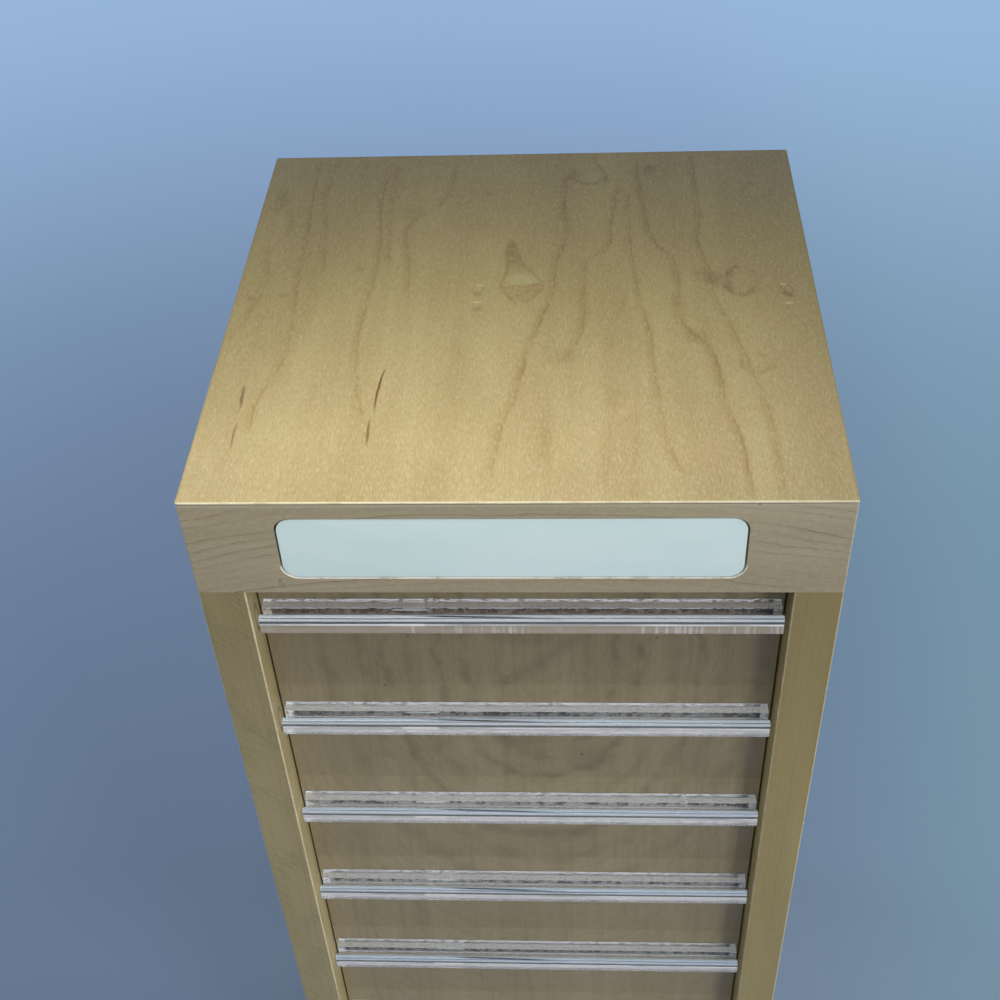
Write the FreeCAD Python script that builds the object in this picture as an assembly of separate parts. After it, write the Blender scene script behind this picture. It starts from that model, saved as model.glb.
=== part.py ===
import FreeCAD, Part
import os

# Countertop jewelry display case in maple, with clear card rails on its front and a storage door behind.
# Millimetres. X runs right, Y runs back and Z runs up. The front faces -Y.
# The origin is the middle of the footprint, on the surface that the feet stand on.

# Whole case
CASE_WIDTH = 254.0
CASE_DEPTH = 255.0
CASE_HEIGHT = 609.6
EDGE_ROUND = 0.8

# Stock that the sides, their stiles and the band of the cap are cut from
BOARD = 19.05

# Cap: a mitred band of four boards around a core, under one sheet of veneer
CAP_HEIGHT = 48.2
TOP_VENEER = 0.6
TOP_CORE = 15.0

# Sides: a veneered panel between a solid front stile and a solid rear stile
FRONT_STILE_DEPTH = 25.0
REAR_STILE_DEPTH = 25.0

# Display panel, set back between the front stiles
PANEL_RECESS = 13.0
PANEL_THICKNESS = 12.0
PANEL_SIDE_GAP = 0.8
PANEL_CLEAT = 14.0

# Card rails, bonded to the display panel and evenly spaced from the first drop down to the last height
RAIL_COUNT = 8
FIRST_RAIL_DROP = 65.4
LAST_RAIL_HEIGHT = 58.8
RAIL_LEFT_GAP = 2.8
RAIL_RIGHT_GAP = 2.3
RAIL_FLANGE = 5.0
RAIL_SLOT = 4.3
RAIL_LIP = 3.3
RAIL_FLOOR = 2.4
RAIL_FLANGE_HEIGHT = 7.4
RAIL_LIP_RISE = 1.5
RAIL_INNER_RADIUS = 0.5
RAIL_OUTER_RADIUS = 0.6
TAPE_THICKNESS = 0.3
TAPE_EDGE = 0.5
TAPE_MARGIN = 3.0

# Sign plate in its pocket in the front header board
SIGN_WIDTH = 178.2
SIGN_HEIGHT = 31.0
SIGN_THICKNESS = 3.0
SIGN_RADIUS = 6.35
SIGN_SHIFT = -1.6
SIGN_DROP = 8.6
SIGN_END_GAP = 0.8
SIGN_EDGE_GAP = 0.4
SIGN_SETBACK = 0.2
SIGN_DISC_RADIUS = 5.0
SIGN_DISC_THICKNESS = 0.8
SIGN_MAGNET_RADIUS = 5.0
SIGN_MAGNET_THICKNESS = 3.0
SIGN_MAGNET_OFFSET = 62.0

# Base board and feet
BASE_THICKNESS = 18.0
FOOT_HEIGHT = 4.0
FOOT_RADIUS = 10.0
FOOT_INSET = 22.0
FOOT_RECESS_RADIUS = 4.6
FOOT_RECESS_DEPTH = 1.8

# Storage shelves, housed in grooves in the side panels
SHELF_COUNT = 2
SHELF_THICKNESS = 12.0
SHELF_GROOVE = 5.0
SHELF_DOOR_GAP = 4.0

# Rear door on two pivot pins
DOOR_THICKNESS = 16.0
DOOR_RECESS = 5.0
DOOR_HINGE_GAP = 0.7
DOOR_FREE_GAP = 1.5
DOOR_END_GAP = 1.5
FINGER_HOLE_RADIUS = 12.0
FINGER_HOLE_INSET = 32.0
FINGER_HOLE_ROUND = 1.5
PIVOT_PIN_RADIUS = 2.5
PIVOT_PIN_SEAT = 12.0
PIVOT_RUNNING_FIT = 0.05
BUSHING_RADIUS = 4.5
BUSHING_LENGTH = 10.0
BUSHING_FLANGE_RADIUS = 6.5
PIVOT_END_CLEARANCE = 0.5
UPPER_FLANGE_CLEARANCE = 0.3

# Magnetic door catch and its strike
CATCH_WIDTH = 16.0
CATCH_DEPTH = 20.0
CATCH_HEIGHT = 18.0
CATCH_TOP_CLEARANCE = 2.0
CATCH_MAGNET_WIDTH = 6.0
CATCH_MAGNET_DEPTH = 8.0
CATCH_MAGNET_HEIGHT = 12.0
STRIKE_THICKNESS = 1.2
STRIKE_WIDTH = 10.0
STRIKE_HEIGHT = 16.0

# Cleats that hold the cap on the sides
CAP_CLEAT_THICKNESS = 16.0
CAP_CLEAT_DROP = 22.0
CAP_CLEAT_FRONT_GAP = 8.0
CAP_CLEAT_CATCH_GAP = 4.0

# Wood screws in three sizes, and how far each kind bites into the piece behind the one that it holds
SMALL_SHANK_RADIUS = 1.25
SMALL_HEAD_RADIUS = 2.4
SMALL_HEAD_HEIGHT = 1.2
MEDIUM_SHANK_RADIUS = 1.75
MEDIUM_HEAD_RADIUS = 3.5
MEDIUM_HEAD_HEIGHT = 2.0
LARGE_SHANK_RADIUS = 2.25
LARGE_HEAD_RADIUS = 4.5
LARGE_HEAD_HEIGHT = 2.6
SCREW_FIT = 0.05
SCREW_TIP_ROOM = 0.5
SCREW_END_MARGIN = 20.0
RECESS_WIDTH = 0.9
RECESS_SHARE = 0.6
TIP_SHARE = 0.25
CLEAT_SCREW_BITE = 14.0
PANEL_SCREW_BITE = 8.0
BASE_SCREW_BITE = 27.0
FOOT_SCREW_BITE = 10.0
CATCH_SCREW_BITE = 10.0
STRIKE_SCREW_BITE = 10.0
BASE_SCREW_COUNT = 3
CAP_SCREW_COUNT = 2
PANEL_SCREW_COUNT = 2


def screw_kind(shank, head, head_height, length):
    """Radius of a screw's shank, radius and height of its head, and its length."""
    return {"shank": shank, "head": head, "head_height": head_height, "length": length}


def small_screw(length):
    return screw_kind(SMALL_SHANK_RADIUS, SMALL_HEAD_RADIUS, SMALL_HEAD_HEIGHT, length)


def medium_screw(length):
    return screw_kind(MEDIUM_SHANK_RADIUS, MEDIUM_HEAD_RADIUS, MEDIUM_HEAD_HEIGHT, length)


def large_screw(length):
    return screw_kind(LARGE_SHANK_RADIUS, LARGE_HEAD_RADIUS, LARGE_HEAD_HEIGHT, length)


CLEAT_SCREW = medium_screw(CAP_CLEAT_THICKNESS + CLEAT_SCREW_BITE)
PANEL_SCREW = medium_screw(PANEL_CLEAT + PANEL_SCREW_BITE)
BASE_SCREW = large_screw(BASE_THICKNESS + BASE_SCREW_BITE)
FOOT_SCREW = medium_screw(FOOT_HEIGHT - FOOT_RECESS_DEPTH + FOOT_SCREW_BITE)
CATCH_SCREW = small_screw(CATCH_WIDTH + CATCH_SCREW_BITE)
STRIKE_SCREW = small_screw(STRIKE_THICKNESS + STRIKE_SCREW_BITE)

# Places worked out from the sizes
RIGHT = CASE_WIDTH / 2
LEFT = -RIGHT
FRONT = -CASE_DEPTH / 2
BACK = CASE_DEPTH / 2
TOP = CASE_HEIGHT
CAP_BOTTOM = TOP - CAP_HEIGHT
BAND_TOP = TOP - TOP_VENEER
CORE_BOTTOM = BAND_TOP - TOP_CORE
BASE_TOP = FOOT_HEIGHT + BASE_THICKNESS
INNER_RIGHT = RIGHT - BOARD
INNER_LEFT = -INNER_RIGHT
PANEL_FRONT = FRONT + PANEL_RECESS
PANEL_BACK = PANEL_FRONT + PANEL_THICKNESS
SIDE_FRONT = FRONT + FRONT_STILE_DEPTH
SIDE_BACK = BACK - REAR_STILE_DEPTH
CLEAT_BACK = PANEL_BACK + PANEL_CLEAT
DOOR_OUTER = BACK - DOOR_RECESS
DOOR_INNER = DOOR_OUTER - DOOR_THICKNESS
DOOR_BOTTOM = BASE_TOP + DOOR_END_GAP
DOOR_TOP = CAP_BOTTOM - DOOR_END_GAP
PIVOT_X = INNER_LEFT + DOOR_HINGE_GAP + DOOR_THICKNESS / 2
PIVOT_Y = DOOR_INNER + DOOR_THICKNESS / 2
DOOR_FREE_EDGE = INNER_RIGHT - DOOR_FREE_GAP
STRIKE_FRONT = DOOR_INNER - STRIKE_THICKNESS
SHELF_BACK = DOOR_INNER - SHELF_DOOR_GAP
CAP_CLEAT_FRONT = CLEAT_BACK + CAP_CLEAT_FRONT_GAP
CAP_CLEAT_BACK = STRIKE_FRONT - CATCH_DEPTH - CAP_CLEAT_CATCH_GAP
RAIL_PITCH = (TOP - FIRST_RAIL_DROP - BASE_TOP - LAST_RAIL_HEIGHT) / (RAIL_COUNT - 1)
BAY_COUNT = SHELF_COUNT + 1
BAY_HEIGHT = (CAP_BOTTOM - BASE_TOP - SHELF_COUNT * SHELF_THICKNESS) / BAY_COUNT

UP = FreeCAD.Vector(0, 0, 1)
DOWN = FreeCAD.Vector(0, 0, -1)
BACKWARD = FreeCAD.Vector(0, 1, 0)
FORWARD = FreeCAD.Vector(0, -1, 0)
RIGHTWARD = FreeCAD.Vector(1, 0, 0)
LEFTWARD = FreeCAD.Vector(-1, 0, 0)


def save(name, shape):
    """Writes one node, which is a solid or a group of separate solids."""
    shape.exportStep("parts/" + name + ".step")


def block(x0, x1, y0, y1, z0, z1):
    """A rectangular board between two corners."""
    return Part.makeBox(x1 - x0, y1 - y0, z1 - z0, FreeCAD.Vector(x0, y0, z0))


def rod(radius, length, start, direction):
    """A round bar that runs from start along direction."""
    return Part.makeCylinder(radius, length, start, direction)


def edges_along(shape, direction):
    """The straight edges of a shape that run along direction."""
    found = []
    for edge in shape.Edges:
        if abs(edge.tangentAt(edge.FirstParameter).dot(direction)) > 0.999:
            found.append(edge)
    return found


def is_circle(edge, radius):
    """Whether an edge is a whole circle of this radius."""
    return isinstance(edge.Curve, Part.Circle) and edge.Closed and abs(edge.Curve.Radius - radius) < 1e-6


def rounded_board(x0, x1, y0, y1, z0, z1, radius, direction):
    """A board whose four edges along direction are rounded."""
    board = block(x0, x1, y0, y1, z0, z1)
    return board.makeFillet(radius, edges_along(board, direction))


def softened(board, y):
    """A board whose two upright edges at y are rounded."""
    edges = [edge for edge in edges_along(board, UP) if abs(edge.Vertexes[0].Y - y) < EDGE_ROUND]
    return board.makeFillet(EDGE_ROUND, edges)


def trimmed(shape):
    """A shape cut to the rounded upright corners of the case."""
    envelope = rounded_board(LEFT, RIGHT, FRONT, BACK, 0, TOP, EDGE_ROUND, UP)
    return shape.common(envelope)


def mirrored(shape):
    """The same shape on the other side of the case's middle."""
    return shape.mirror(FreeCAD.Vector(0, 0, 0), RIGHTWARD)


def spread(low, high, count):
    """Evenly spaced places from low to high, both included. A single place lies midway."""
    if count == 1:
        return [(low + high) / 2]
    step = (high - low) / (count - 1)
    return [low + step * index for index in range(count)]


def aimed(shape, place, direction):
    """Turns a shape that was built up +Z, so that it starts at place and runs along direction."""
    shape.Placement = FreeCAD.Placement(place, FreeCAD.Rotation(UP, direction))
    return shape


def screw(kind, place, direction):
    """A countersunk wood screw with a cross recess. Its head lies flush at place."""
    head = Part.makeCone(kind["head"], kind["shank"], kind["head_height"])
    shank = rod(kind["shank"], kind["length"] - kind["shank"], FreeCAD.Vector(0, 0, 0), UP)
    tip_start = FreeCAD.Vector(0, 0, kind["length"] - kind["shank"])
    tip = Part.makeCone(kind["shank"], kind["shank"] * TIP_SHARE, kind["shank"], tip_start)
    body = head.fuse([shank, tip]).removeSplitter()
    reach = kind["head"] * RECESS_SHARE
    depth = kind["head_height"] * RECESS_SHARE
    across = block(-reach, reach, -RECESS_WIDTH / 2, RECESS_WIDTH / 2, 0, depth)
    along = block(-RECESS_WIDTH / 2, RECESS_WIDTH / 2, -reach, reach, 0, depth)
    return aimed(body.cut([across, along]), place, direction)


def screw_hole(kind, place, direction):
    """The countersunk hole that a screw of this kind fills."""
    head = Part.makeCone(kind["head"] + SCREW_FIT, kind["shank"] + SCREW_FIT, kind["head_height"])
    shank = rod(kind["shank"] + SCREW_FIT, kind["length"] + SCREW_TIP_ROOM, FreeCAD.Vector(0, 0, 0), UP)
    return aimed(head.fuse(shank), place, direction)


def cap_screw_places():
    """Where the screws of one cap cleat lie: a row into the side and a row into the cap, as (y, z)."""
    rows = (CAP_BOTTOM - CAP_CLEAT_DROP / 2, CAP_BOTTOM + (CORE_BOTTOM - CAP_BOTTOM) / 2)
    ys = spread(CAP_CLEAT_FRONT + SCREW_END_MARGIN, CAP_CLEAT_BACK - SCREW_END_MARGIN, CAP_SCREW_COUNT)
    return [(y, z) for z in rows for y in ys]


def cap_screws(make):
    """Screws or their holes through both cap cleats, from inside the case outwards."""
    shapes = []
    for y, z in cap_screw_places():
        right_place = FreeCAD.Vector(INNER_RIGHT - CAP_CLEAT_THICKNESS, y, z)
        left_place = FreeCAD.Vector(INNER_LEFT + CAP_CLEAT_THICKNESS, y, z)
        shapes.append(make(CLEAT_SCREW, right_place, RIGHTWARD))
        shapes.append(make(CLEAT_SCREW, left_place, LEFTWARD))
    return shapes


def base_screws(make):
    """Screws or their holes up through the base board into both side panels."""
    shapes = []
    x = RIGHT - BOARD / 2
    for y in spread(SIDE_FRONT + SCREW_END_MARGIN, SIDE_BACK - SCREW_END_MARGIN, BASE_SCREW_COUNT):
        shapes.append(make(BASE_SCREW, FreeCAD.Vector(x, y, FOOT_HEIGHT), UP))
        shapes.append(make(BASE_SCREW, FreeCAD.Vector(-x, y, FOOT_HEIGHT), UP))
    return shapes


def foot_places():
    """The centres of the four feet."""
    x = RIGHT - FOOT_INSET
    y = BACK - FOOT_INSET
    return [(x, y), (-x, y), (x, -y), (-x, -y)]


def foot_screws(make):
    """Screws or their holes up through the feet into the base board."""
    shapes = []
    for x, y in foot_places():
        shapes.append(make(FOOT_SCREW, FreeCAD.Vector(x, y, FOOT_RECESS_DEPTH), UP))
    return shapes


def bay_floor(index):
    """Height of the floor of one storage bay, counted from the lowest."""
    return BASE_TOP + index * (BAY_HEIGHT + SHELF_THICKNESS)


def shelf_bottom(index):
    """Height of the underside of one shelf, counted from the lowest."""
    return bay_floor(index) + BAY_HEIGHT


def panel_screws(make):
    """Screws or their holes through the panel cleats into the back of the display panel."""
    shapes = []
    x = INNER_RIGHT - PANEL_CLEAT / 2
    for index in range(BAY_COUNT):
        low = bay_floor(index) + SCREW_END_MARGIN
        high = bay_floor(index) + BAY_HEIGHT - SCREW_END_MARGIN
        for z in spread(low, high, PANEL_SCREW_COUNT):
            shapes.append(make(PANEL_SCREW, FreeCAD.Vector(x, CLEAT_BACK, z), FORWARD))
            shapes.append(make(PANEL_SCREW, FreeCAD.Vector(-x, CLEAT_BACK, z), FORWARD))
    return shapes


def catch_box():
    """Lowest and highest corner of the catch, on the right side panel, as x0, x1, y0, y1, z0, z1."""
    z1 = DOOR_TOP - CATCH_TOP_CLEARANCE
    y1 = STRIKE_FRONT
    return (INNER_RIGHT - CATCH_WIDTH, INNER_RIGHT, y1 - CATCH_DEPTH, y1, z1 - CATCH_HEIGHT, z1)


def catch_screws(make):
    """Screws or their holes through the catch into the right side panel."""
    x0, x1, y0, y1, z0, z1 = catch_box()
    y = y0 + (CATCH_DEPTH - CATCH_MAGNET_DEPTH) / 2
    quarter = CATCH_HEIGHT / 4
    shapes = []
    for z in (z0 + quarter, z1 - quarter):
        shapes.append(make(CATCH_SCREW, FreeCAD.Vector(x0, y, z), RIGHTWARD))
    return shapes


def strike_place():
    """Where the strike's screw starts, on the face of the strike that meets the magnet."""
    x0, x1, y0, y1, z0, z1 = catch_box()
    return FreeCAD.Vector((x0 + x1) / 2, STRIKE_FRONT, (z0 + z1) / 2)


def sign_centre():
    """Middle of the sign plate, in the plane of the case's front."""
    return FreeCAD.Vector(SIGN_SHIFT, FRONT, TOP - SIGN_DROP - SIGN_HEIGHT / 2)


def sign_outline(x_gap, z_gap, y0, y1):
    """The sign plate's outline, grown by a gap at its ends and one at its long edges."""
    centre = sign_centre()
    half_width = SIGN_WIDTH / 2 + x_gap
    half_height = SIGN_HEIGHT / 2 + z_gap
    return rounded_board(centre.x - half_width, centre.x + half_width, y0, y1,
                         centre.z - half_height, centre.z + half_height, SIGN_RADIUS, BACKWARD)


def sign_discs(radius, y, thickness):
    """Two discs behind the sign plate that run back from y."""
    centre = sign_centre()
    discs = []
    for x in (centre.x - SIGN_MAGNET_OFFSET, centre.x + SIGN_MAGNET_OFFSET):
        discs.append(rod(radius, thickness, FreeCAD.Vector(x, y, centre.z), BACKWARD))
    return discs


def make_cap():
    """Top veneer, its core, and the band of four boards mitred at the corners."""
    save("top_veneer", trimmed(block(LEFT, RIGHT, FRONT, BACK, BAND_TOP, TOP)))
    hollow = block(LEFT + BOARD, RIGHT - BOARD, FRONT + BOARD, BACK - BOARD, CAP_BOTTOM, BAND_TOP)
    save("top_core", hollow.common(block(LEFT, RIGHT, FRONT, BACK, CORE_BOTTOM, BAND_TOP)))
    band = block(LEFT, RIGHT, FRONT, BACK, CAP_BOTTOM, BAND_TOP).cut(hollow)
    band = trimmed(band).cut(cap_screws(screw_hole))
    front_wedge = mitre_wedge(FRONT, 1)
    rear_wedge = mitre_wedge(BACK, -1)
    front = band.common(front_wedge)
    pocket_back = FRONT + SIGN_SETBACK + SIGN_THICKNESS
    front = front.cut(sign_outline(SIGN_END_GAP, SIGN_EDGE_GAP, FRONT - SIGN_SETBACK, pocket_back))
    front = front.cut(sign_discs(SIGN_MAGNET_RADIUS, pocket_back, SIGN_MAGNET_THICKNESS))
    rear = band.common(rear_wedge)
    rear = rear.cut(rod(PIVOT_PIN_RADIUS, PIVOT_PIN_SEAT, FreeCAD.Vector(PIVOT_X, PIVOT_Y, CAP_BOTTOM), UP))
    sides = band.cut([front_wedge, rear_wedge])
    save("front_header_board", front)
    save("rear_header_board", rear)
    save("left_header_board", sides.common(block(LEFT, 0, FRONT, BACK, CAP_BOTTOM, TOP)))
    save("right_header_board", sides.common(block(0, RIGHT, FRONT, BACK, CAP_BOTTOM, TOP)))


def mitre_wedge(y, inward):
    """The space of one whole board of the band, with 45 degree ends. It points into the case from y."""
    inner_y = y + inward * BOARD
    corners = [
        FreeCAD.Vector(LEFT, y, CAP_BOTTOM),
        FreeCAD.Vector(RIGHT, y, CAP_BOTTOM),
        FreeCAD.Vector(INNER_RIGHT, inner_y, CAP_BOTTOM),
        FreeCAD.Vector(INNER_LEFT, inner_y, CAP_BOTTOM),
        FreeCAD.Vector(LEFT, y, CAP_BOTTOM),
    ]
    return Part.Face(Part.makePolygon(corners)).extrude(UP * CAP_HEIGHT)


def make_cap_cleats():
    """Two cleats inside the case that tie the cap to the side panels."""
    holes = cap_screws(screw_hole)
    cleat = block(INNER_RIGHT - CAP_CLEAT_THICKNESS, INNER_RIGHT, CAP_CLEAT_FRONT, CAP_CLEAT_BACK,
                  CAP_BOTTOM - CAP_CLEAT_DROP, CORE_BOTTOM)
    save("right_cap_cleat", cleat.cut(holes))
    save("left_cap_cleat", mirrored(cleat).cut(holes))
    save("cap_screws", Part.makeCompound(cap_screws(screw)))


def shelf_outline(index):
    """A shelf that reaches into both sides, and with that the grooves that it fills."""
    z = shelf_bottom(index)
    return block(INNER_LEFT - SHELF_GROOVE, INNER_RIGHT + SHELF_GROOVE, PANEL_BACK, SHELF_BACK,
                 z, z + SHELF_THICKNESS)


def make_sides():
    """Stiles and side panels, from the base board up to the cap."""
    front_stile = softened(block(INNER_RIGHT, RIGHT, FRONT, SIDE_FRONT, BASE_TOP, CAP_BOTTOM), FRONT)
    rear_stile = softened(block(INNER_RIGHT, RIGHT, SIDE_BACK, BACK, BASE_TOP, CAP_BOTTOM), BACK)
    panel = block(INNER_RIGHT, RIGHT, SIDE_FRONT, SIDE_BACK, BASE_TOP, CAP_BOTTOM)
    cuts = cap_screws(screw_hole) + base_screws(screw_hole) + catch_screws(screw_hole)
    for index in range(SHELF_COUNT):
        cuts.append(shelf_outline(index))
    save("right_front_stile", front_stile.cut(cuts))
    save("left_front_stile", mirrored(front_stile).cut(cuts))
    save("right_rear_stile", rear_stile.cut(cuts))
    save("left_rear_stile", mirrored(rear_stile).cut(cuts))
    save("right_side_panel", panel.cut(cuts))
    save("left_side_panel", mirrored(panel).cut(cuts))


def make_shelves():
    """Storage shelves, from the back of the display panel to just short of the door."""
    for index in range(SHELF_COUNT):
        save("storage_shelf_" + str(index + 1), shelf_outline(index))


def make_display_panel():
    """The recessed panel and the cleats that it is screwed to."""
    holes = panel_screws(screw_hole)
    panel = block(INNER_LEFT + PANEL_SIDE_GAP, INNER_RIGHT - PANEL_SIDE_GAP, PANEL_FRONT, PANEL_BACK,
                  BASE_TOP, CAP_BOTTOM)
    save("display_panel", panel.cut(holes))
    cleats = []
    for index in range(BAY_COUNT):
        z = bay_floor(index)
        cleat = block(INNER_RIGHT - PANEL_CLEAT, INNER_RIGHT, PANEL_BACK, CLEAT_BACK, z, z + BAY_HEIGHT)
        cleats.append(cleat.cut(holes))
        cleats.append(mirrored(cleat).cut(holes))
    save("panel_cleats", Part.makeCompound(cleats))
    save("panel_screws", Part.makeCompound(panel_screws(screw)))


def rail_section(x, top):
    """Section of a card rail: a flat flange at the back, a slot, and a lip with a full round top."""
    back = PANEL_FRONT - TAPE_THICKNESS
    slot_back = back - RAIL_FLANGE
    slot_front = slot_back - RAIL_SLOT
    front = slot_front - RAIL_LIP
    bottom = top - RAIL_FLANGE_HEIGHT
    floor = bottom + RAIL_FLOOR
    lip_top = top + RAIL_LIP_RISE
    round_start = lip_top - RAIL_LIP / 2
    inner = RAIL_INNER_RADIUS
    outer = RAIL_OUTER_RADIUS

    def point(y, z):
        return FreeCAD.Vector(x, y, z)

    def line(start, end):
        return Part.LineSegment(start, end).toShape()

    def quarter(start, centre, end):
        radius = (start - centre).Length
        middle = centre + ((start + end) * 0.5 - centre).normalize() * radius
        return Part.Arc(start, middle, end).toShape()

    a = point(back, bottom)
    b = point(back, top)
    c = point(slot_back, top)
    d = point(slot_back, floor + inner)
    e = point(slot_back - inner, floor)
    f = point(slot_front + inner, floor)
    g = point(slot_front, floor + inner)
    h = point(slot_front, round_start)
    i = point(front, round_start)
    j = point(front, bottom + outer)
    k = point(front + outer, bottom)
    crown = point((slot_front + front) / 2, lip_top)
    edges = [
        line(a, b), line(b, c), line(c, d),
        quarter(d, point(slot_back - inner, floor + inner), e),
        line(e, f),
        quarter(f, point(slot_front + inner, floor + inner), g),
        line(g, h),
        Part.Arc(h, crown, i).toShape(),
        line(i, j),
        quarter(j, point(front + outer, bottom + outer), k),
        line(k, a),
    ]
    return Part.Face(Part.Wire(edges))


def make_rails():
    """The clear card rails down the display panel and the tape strips that bond them to it."""
    x0 = INNER_LEFT + RAIL_LEFT_GAP
    x1 = INNER_RIGHT - RAIL_RIGHT_GAP
    tapes = []
    for index in range(RAIL_COUNT):
        top = TOP - FIRST_RAIL_DROP - index * RAIL_PITCH
        save("card_rail_" + str(index + 1), rail_section(x0, top).extrude(RIGHTWARD * (x1 - x0)))
        tapes.append(block(x0 + TAPE_MARGIN, x1 - TAPE_MARGIN, PANEL_FRONT - TAPE_THICKNESS, PANEL_FRONT,
                           top - RAIL_FLANGE_HEIGHT + TAPE_EDGE, top - TAPE_EDGE))
    save("rail_tapes", Part.makeCompound(tapes))


def make_sign():
    """The sign plate with two steel discs in its back, and the magnets in the header that hold it."""
    plate_front = FRONT + SIGN_SETBACK
    plate_back = plate_front + SIGN_THICKNESS
    plate = sign_outline(0, 0, plate_front, plate_back)
    discs = sign_discs(SIGN_DISC_RADIUS, plate_back - SIGN_DISC_THICKNESS, SIGN_DISC_THICKNESS)
    save("sign_plate", plate.cut(discs))
    save("sign_discs", Part.makeCompound(discs))
    magnets = sign_discs(SIGN_MAGNET_RADIUS, plate_back, SIGN_MAGNET_THICKNESS)
    save("sign_magnets", Part.makeCompound(magnets))


def make_base():
    """Base board, rubber feet and their screws."""
    board = trimmed(block(LEFT, RIGHT, FRONT, BACK, FOOT_HEIGHT, BASE_TOP))
    pin_hole = rod(PIVOT_PIN_RADIUS, PIVOT_PIN_SEAT, FreeCAD.Vector(PIVOT_X, PIVOT_Y, BASE_TOP), DOWN)
    save("base_board", board.cut(base_screws(screw_hole) + foot_screws(screw_hole) + [pin_hole]))
    feet = []
    for x, y in foot_places():
        foot = rod(FOOT_RADIUS, FOOT_HEIGHT, FreeCAD.Vector(x, y, 0), UP)
        recess = rod(FOOT_RECESS_RADIUS, FOOT_RECESS_DEPTH, FreeCAD.Vector(x, y, 0), UP)
        feet.append(foot.cut([recess] + foot_screws(screw_hole)))
    save("rubber_feet", Part.makeCompound(feet))
    save("foot_screws", Part.makeCompound(foot_screws(screw)))
    save("base_screws", Part.makeCompound(base_screws(screw)))


def bushing(seat_z, direction, flange):
    """A flanged pivot bushing. Its flange starts at seat_z and its sleeve runs along direction."""
    start = FreeCAD.Vector(PIVOT_X, PIVOT_Y, seat_z)
    sleeve = rod(BUSHING_RADIUS, flange + BUSHING_LENGTH, start, direction)
    collar = rod(BUSHING_FLANGE_RADIUS, flange, start, direction)
    bore = rod(PIVOT_PIN_RADIUS + PIVOT_RUNNING_FIT, flange + BUSHING_LENGTH, start, direction)
    return sleeve.fuse(collar).cut(bore)


def pivot_pin(seat_z, direction):
    """A pivot pin seated in the case at seat_z, with its free end running along direction."""
    start = FreeCAD.Vector(PIVOT_X, PIVOT_Y, seat_z) - direction * PIVOT_PIN_SEAT
    length = PIVOT_PIN_SEAT + DOOR_END_GAP + BUSHING_LENGTH - PIVOT_END_CLEARANCE
    return rod(PIVOT_PIN_RADIUS, length, start, direction)


def make_door():
    """The rear door, its bushings and pins. Its hinge edge is a full round about the pivot axis."""
    slab = block(PIVOT_X, DOOR_FREE_EDGE, DOOR_INNER, DOOR_OUTER, DOOR_BOTTOM, DOOR_TOP)
    pivot_foot = FreeCAD.Vector(PIVOT_X, PIVOT_Y, DOOR_BOTTOM)
    round_edge = rod(DOOR_THICKNESS / 2, DOOR_TOP - DOOR_BOTTOM, pivot_foot, UP)
    door = slab.fuse(round_edge).removeSplitter()
    hole_start = FreeCAD.Vector(DOOR_FREE_EDGE - FINGER_HOLE_INSET, DOOR_INNER, (DOOR_BOTTOM + DOOR_TOP) / 2)
    cuts = [
        rod(FINGER_HOLE_RADIUS, DOOR_THICKNESS, hole_start, BACKWARD),
        rod(BUSHING_RADIUS, BUSHING_LENGTH, pivot_foot, UP),
        rod(BUSHING_RADIUS, BUSHING_LENGTH, FreeCAD.Vector(PIVOT_X, PIVOT_Y, DOOR_TOP), DOWN),
        screw_hole(STRIKE_SCREW, strike_place(), BACKWARD),
    ]
    door = door.cut(cuts)
    rims = [edge for edge in door.Edges if is_circle(edge, FINGER_HOLE_RADIUS)]
    save("rear_door", door.makeFillet(FINGER_HOLE_ROUND, rims))
    save("lower_pivot_bushing", bushing(BASE_TOP, UP, DOOR_END_GAP))
    upper_flange = DOOR_END_GAP - UPPER_FLANGE_CLEARANCE
    save("upper_pivot_bushing", bushing(CAP_BOTTOM - UPPER_FLANGE_CLEARANCE, DOWN, upper_flange))
    save("lower_pivot_pin", pivot_pin(BASE_TOP, UP))
    save("upper_pivot_pin", pivot_pin(CAP_BOTTOM, DOWN))


def make_catch():
    """Magnetic catch on the right side panel and the strike on the door that it holds."""
    x0, x1, y0, y1, z0, z1 = catch_box()
    middle_x = (x0 + x1) / 2
    middle_z = (z0 + z1) / 2
    magnet = block(middle_x - CATCH_MAGNET_WIDTH / 2, middle_x + CATCH_MAGNET_WIDTH / 2,
                   y1 - CATCH_MAGNET_DEPTH, y1,
                   middle_z - CATCH_MAGNET_HEIGHT / 2, middle_z + CATCH_MAGNET_HEIGHT / 2)
    save("catch_body", block(x0, x1, y0, y1, z0, z1).cut(catch_screws(screw_hole) + [magnet]))
    save("catch_magnet", magnet)
    save("catch_screws", Part.makeCompound(catch_screws(screw)))
    place = strike_place()
    strike = block(place.x - STRIKE_WIDTH / 2, place.x + STRIKE_WIDTH / 2, STRIKE_FRONT, DOOR_INNER,
                   place.z - STRIKE_HEIGHT / 2, place.z + STRIKE_HEIGHT / 2)
    save("catch_strike", strike.cut(screw_hole(STRIKE_SCREW, place, BACKWARD)))
    save("strike_screw", screw(STRIKE_SCREW, place, BACKWARD))


def main():
    os.makedirs("parts", exist_ok=True)
    make_cap()
    make_cap_cleats()
    make_sides()
    make_shelves()
    make_display_panel()
    make_rails()
    make_sign()
    make_base()
    make_door()
    make_catch()


main()
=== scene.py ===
"""Looks of a countertop jewelry display case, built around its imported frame.

Lengths are in metres, and in the materials in millimetres.
"""

import math

import bmesh
import bpy
from mathutils import Matrix, Vector


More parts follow.
